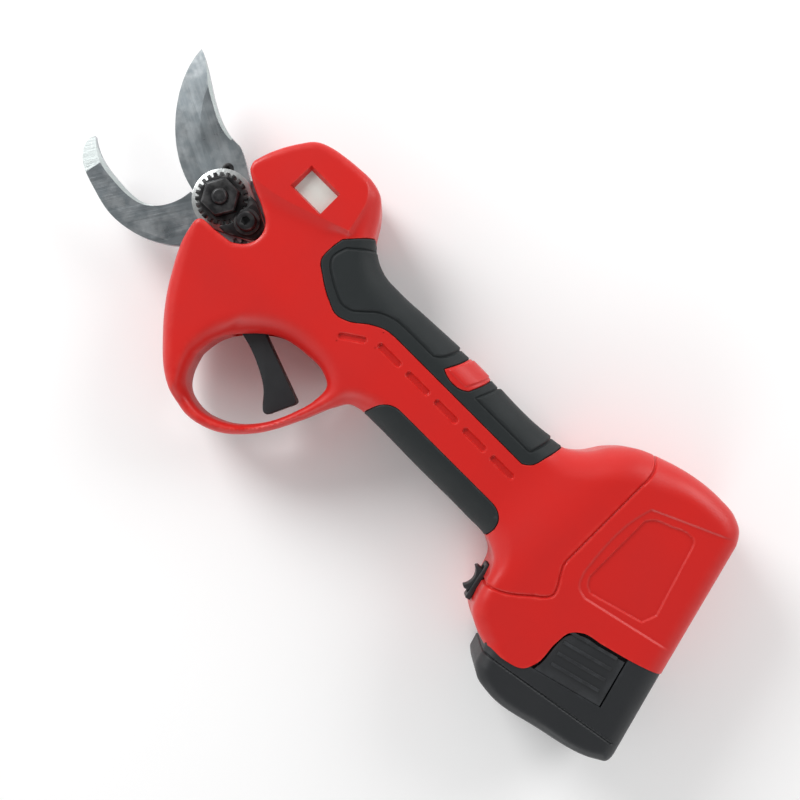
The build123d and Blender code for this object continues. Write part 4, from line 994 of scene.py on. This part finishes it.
rampSlope = (bladeTop - movingGrind["edge"]) / movingGrind["width"]
cuttingRamp = ribbon("ramp", [(-45.6, 37), (-44.3, 29), (-39, 16.5), (-31, 6.5), (-17.5, -2.8), (-8, -5.6)],
                     [(-2, movingGrind["edge"] - 2 * rampSlope), (movingGrind["width"] + 0.5, bladeTop + 0.5 * rampSlope),
                      (movingGrind["width"] + 0.5, 7), (-2, 7)])
backSlope = movingGrind["backDepth"] / movingGrind["back"]
backRamp = ribbon("backRamp", [(-13, 19.2), (-16, 19.4), (-28, 24.5), (-38, 30.8), (-46, 35)],
                  [(-1, bladeTop - movingGrind["backDepth"] - backSlope), (movingGrind["back"] + 0.3, bladeTop + 0.3 * backSlope),
                   (movingGrind["back"] + 0.3, 6), (-1, 6)])
groundPiece("moving_blade", "cuttingBlade", [cuttingRamp, backRamp], bladeSteel, "blade", 0.991)
hookRamp = ribbon("hookRamp", [(-18, -18.4), (-21, -20.8), (-25, -22.0), (-33.5, -22.2), (-44, -20.5), (-53, -15.8)],
                  [(-1, -1.2), (1.9, 0.25), (1.9, 3), (-1, 3)])
tipRamp = ribbon("tipRamp", [(-41.8, -17.5), (-44.6, -31)], [(-14, -1.1), (0.2, 0.03), (0.2, 3), (-14, 3)])
groundPiece("fixed_blade", "hookBlade", [hookRamp, tipRamp], hookSteel, "handle", 0.9985)

print("small parts")
softened("trigger", "triggerLever", 1.1, batteryPlastic, "trigger", segments=4)
softened("lock_disc", "toothedDisc", 0.16, blackOxide, "handle")
softened("lock_tab", "lockTab", 0.35, blackOxide, "handle")
softened("lock_screw", "lockScrew", 0.2, blackOxide, "handle")
softened("pivot_nut", "pivotNut", 0.25, blackOxide, "handle")
softened("pivot_bolt", "pivotBolt", 0.22, blackOxide, "handle")
softened("blade_dowel", "bladeDowel", 0.2, blackOxide, "blade")
softened("cover_plate", "coverPlate", 0.3, plateSteel, "handle")
softened("gear_case", "gearCase", 0.5, castAlloy, "handle")
softened("switch_body", "switchFrame", 0.35, batteryPlastic, "handle")
softened("switch_rocker", "switchRocker", 0.3, batteryPlastic, "rocker")
softened("latch_left", "leftLatch", 0.25, batteryPlastic, "latch_left")
softened("latch_right", "rightLatch", 0.25, batteryPlastic, "latch_right")
softened("housing_screws", "shellScrews", 0.2, blackOxide, "handle")

# ---- camera, light and floor
camera = {"aim": (99.6, -5.76), "height": 450.0, "lens": 54.0, "turn": 45.0}
lens = bpy.data.cameras.new("camera")
lens.lens = camera["lens"]
lens.sensor_width = 36
lens.clip_start = 0.01
cameraObject = bpy.data.objects.new("camera", lens)
cameraObject.location = atTool(*camera["aim"], camera["height"])
cameraObject.rotation_euler = (0, 0, radians(camera["turn"]))
bpy.context.scene.collection.objects.link(cameraObject)
bpy.context.scene.camera = cameraObject


def areaLight(name, place, size, power, colour=(1, 1, 1)):
    lamp = bpy.data.lights.new(name, "AREA")
    lamp.shape = "DISK"
    lamp.size = size
    lamp.energy = power
    lamp.color = colour
    holder = bpy.data.objects.new(name, lamp)
    holder.location = place
    holder.rotation_euler = (-Vector(place)).to_track_quat("-Z", "Y").to_euler()
    bpy.context.scene.collection.objects.link(holder)


areaLight("keyLight", (-0.95, 0.1, 0.62), 0.55, 8.5)
areaLight("topLight", (0.2, 0.95, 0.55), 0.7, 4.5)
areaLight("lowLight", (0.6, -0.85, 0.5), 0.7, 2.5)


def studioWorld():
    # a bright band round the horizon that darkens overhead, as in a light tent with an open top
    world = bpy.data.worlds.new("studio")
    world.use_nodes = True
    tree = world.node_tree
    height = addNode(tree, "SeparateXYZ", {0: addNode(tree, "TexCoord").outputs["Generated"]})
    fade = addNode(tree, "MapRange", {"Value": height.outputs["Z"], "From Min": 0.45, "From Max": 0.95,
                                      "To Min": 0.85, "To Max": 0.2})
    tree.links.new(fade.outputs["Result"], tree.nodes["Background"].inputs["Strength"])
    tree.nodes["Background"].inputs["Color"].default_value = (1, 1, 1, 1)
    return world


bpy.context.scene.world = studioWorld()
bpy.context.scene.view_settings.view_transform = "Standard"

bm = bmesh.new()
bmesh.ops.create_grid(bm, x_segments=1, y_segments=1, size=3)
floorPaint, floorTree, floorShader = newMaterial("floorPaint", Roughness=0.9)
floorShader.inputs["Base Color"].default_value = (0.96, 0.96, 0.96, 1)
floor = newPiece("floor", bm, floorPaint, smooth=False)
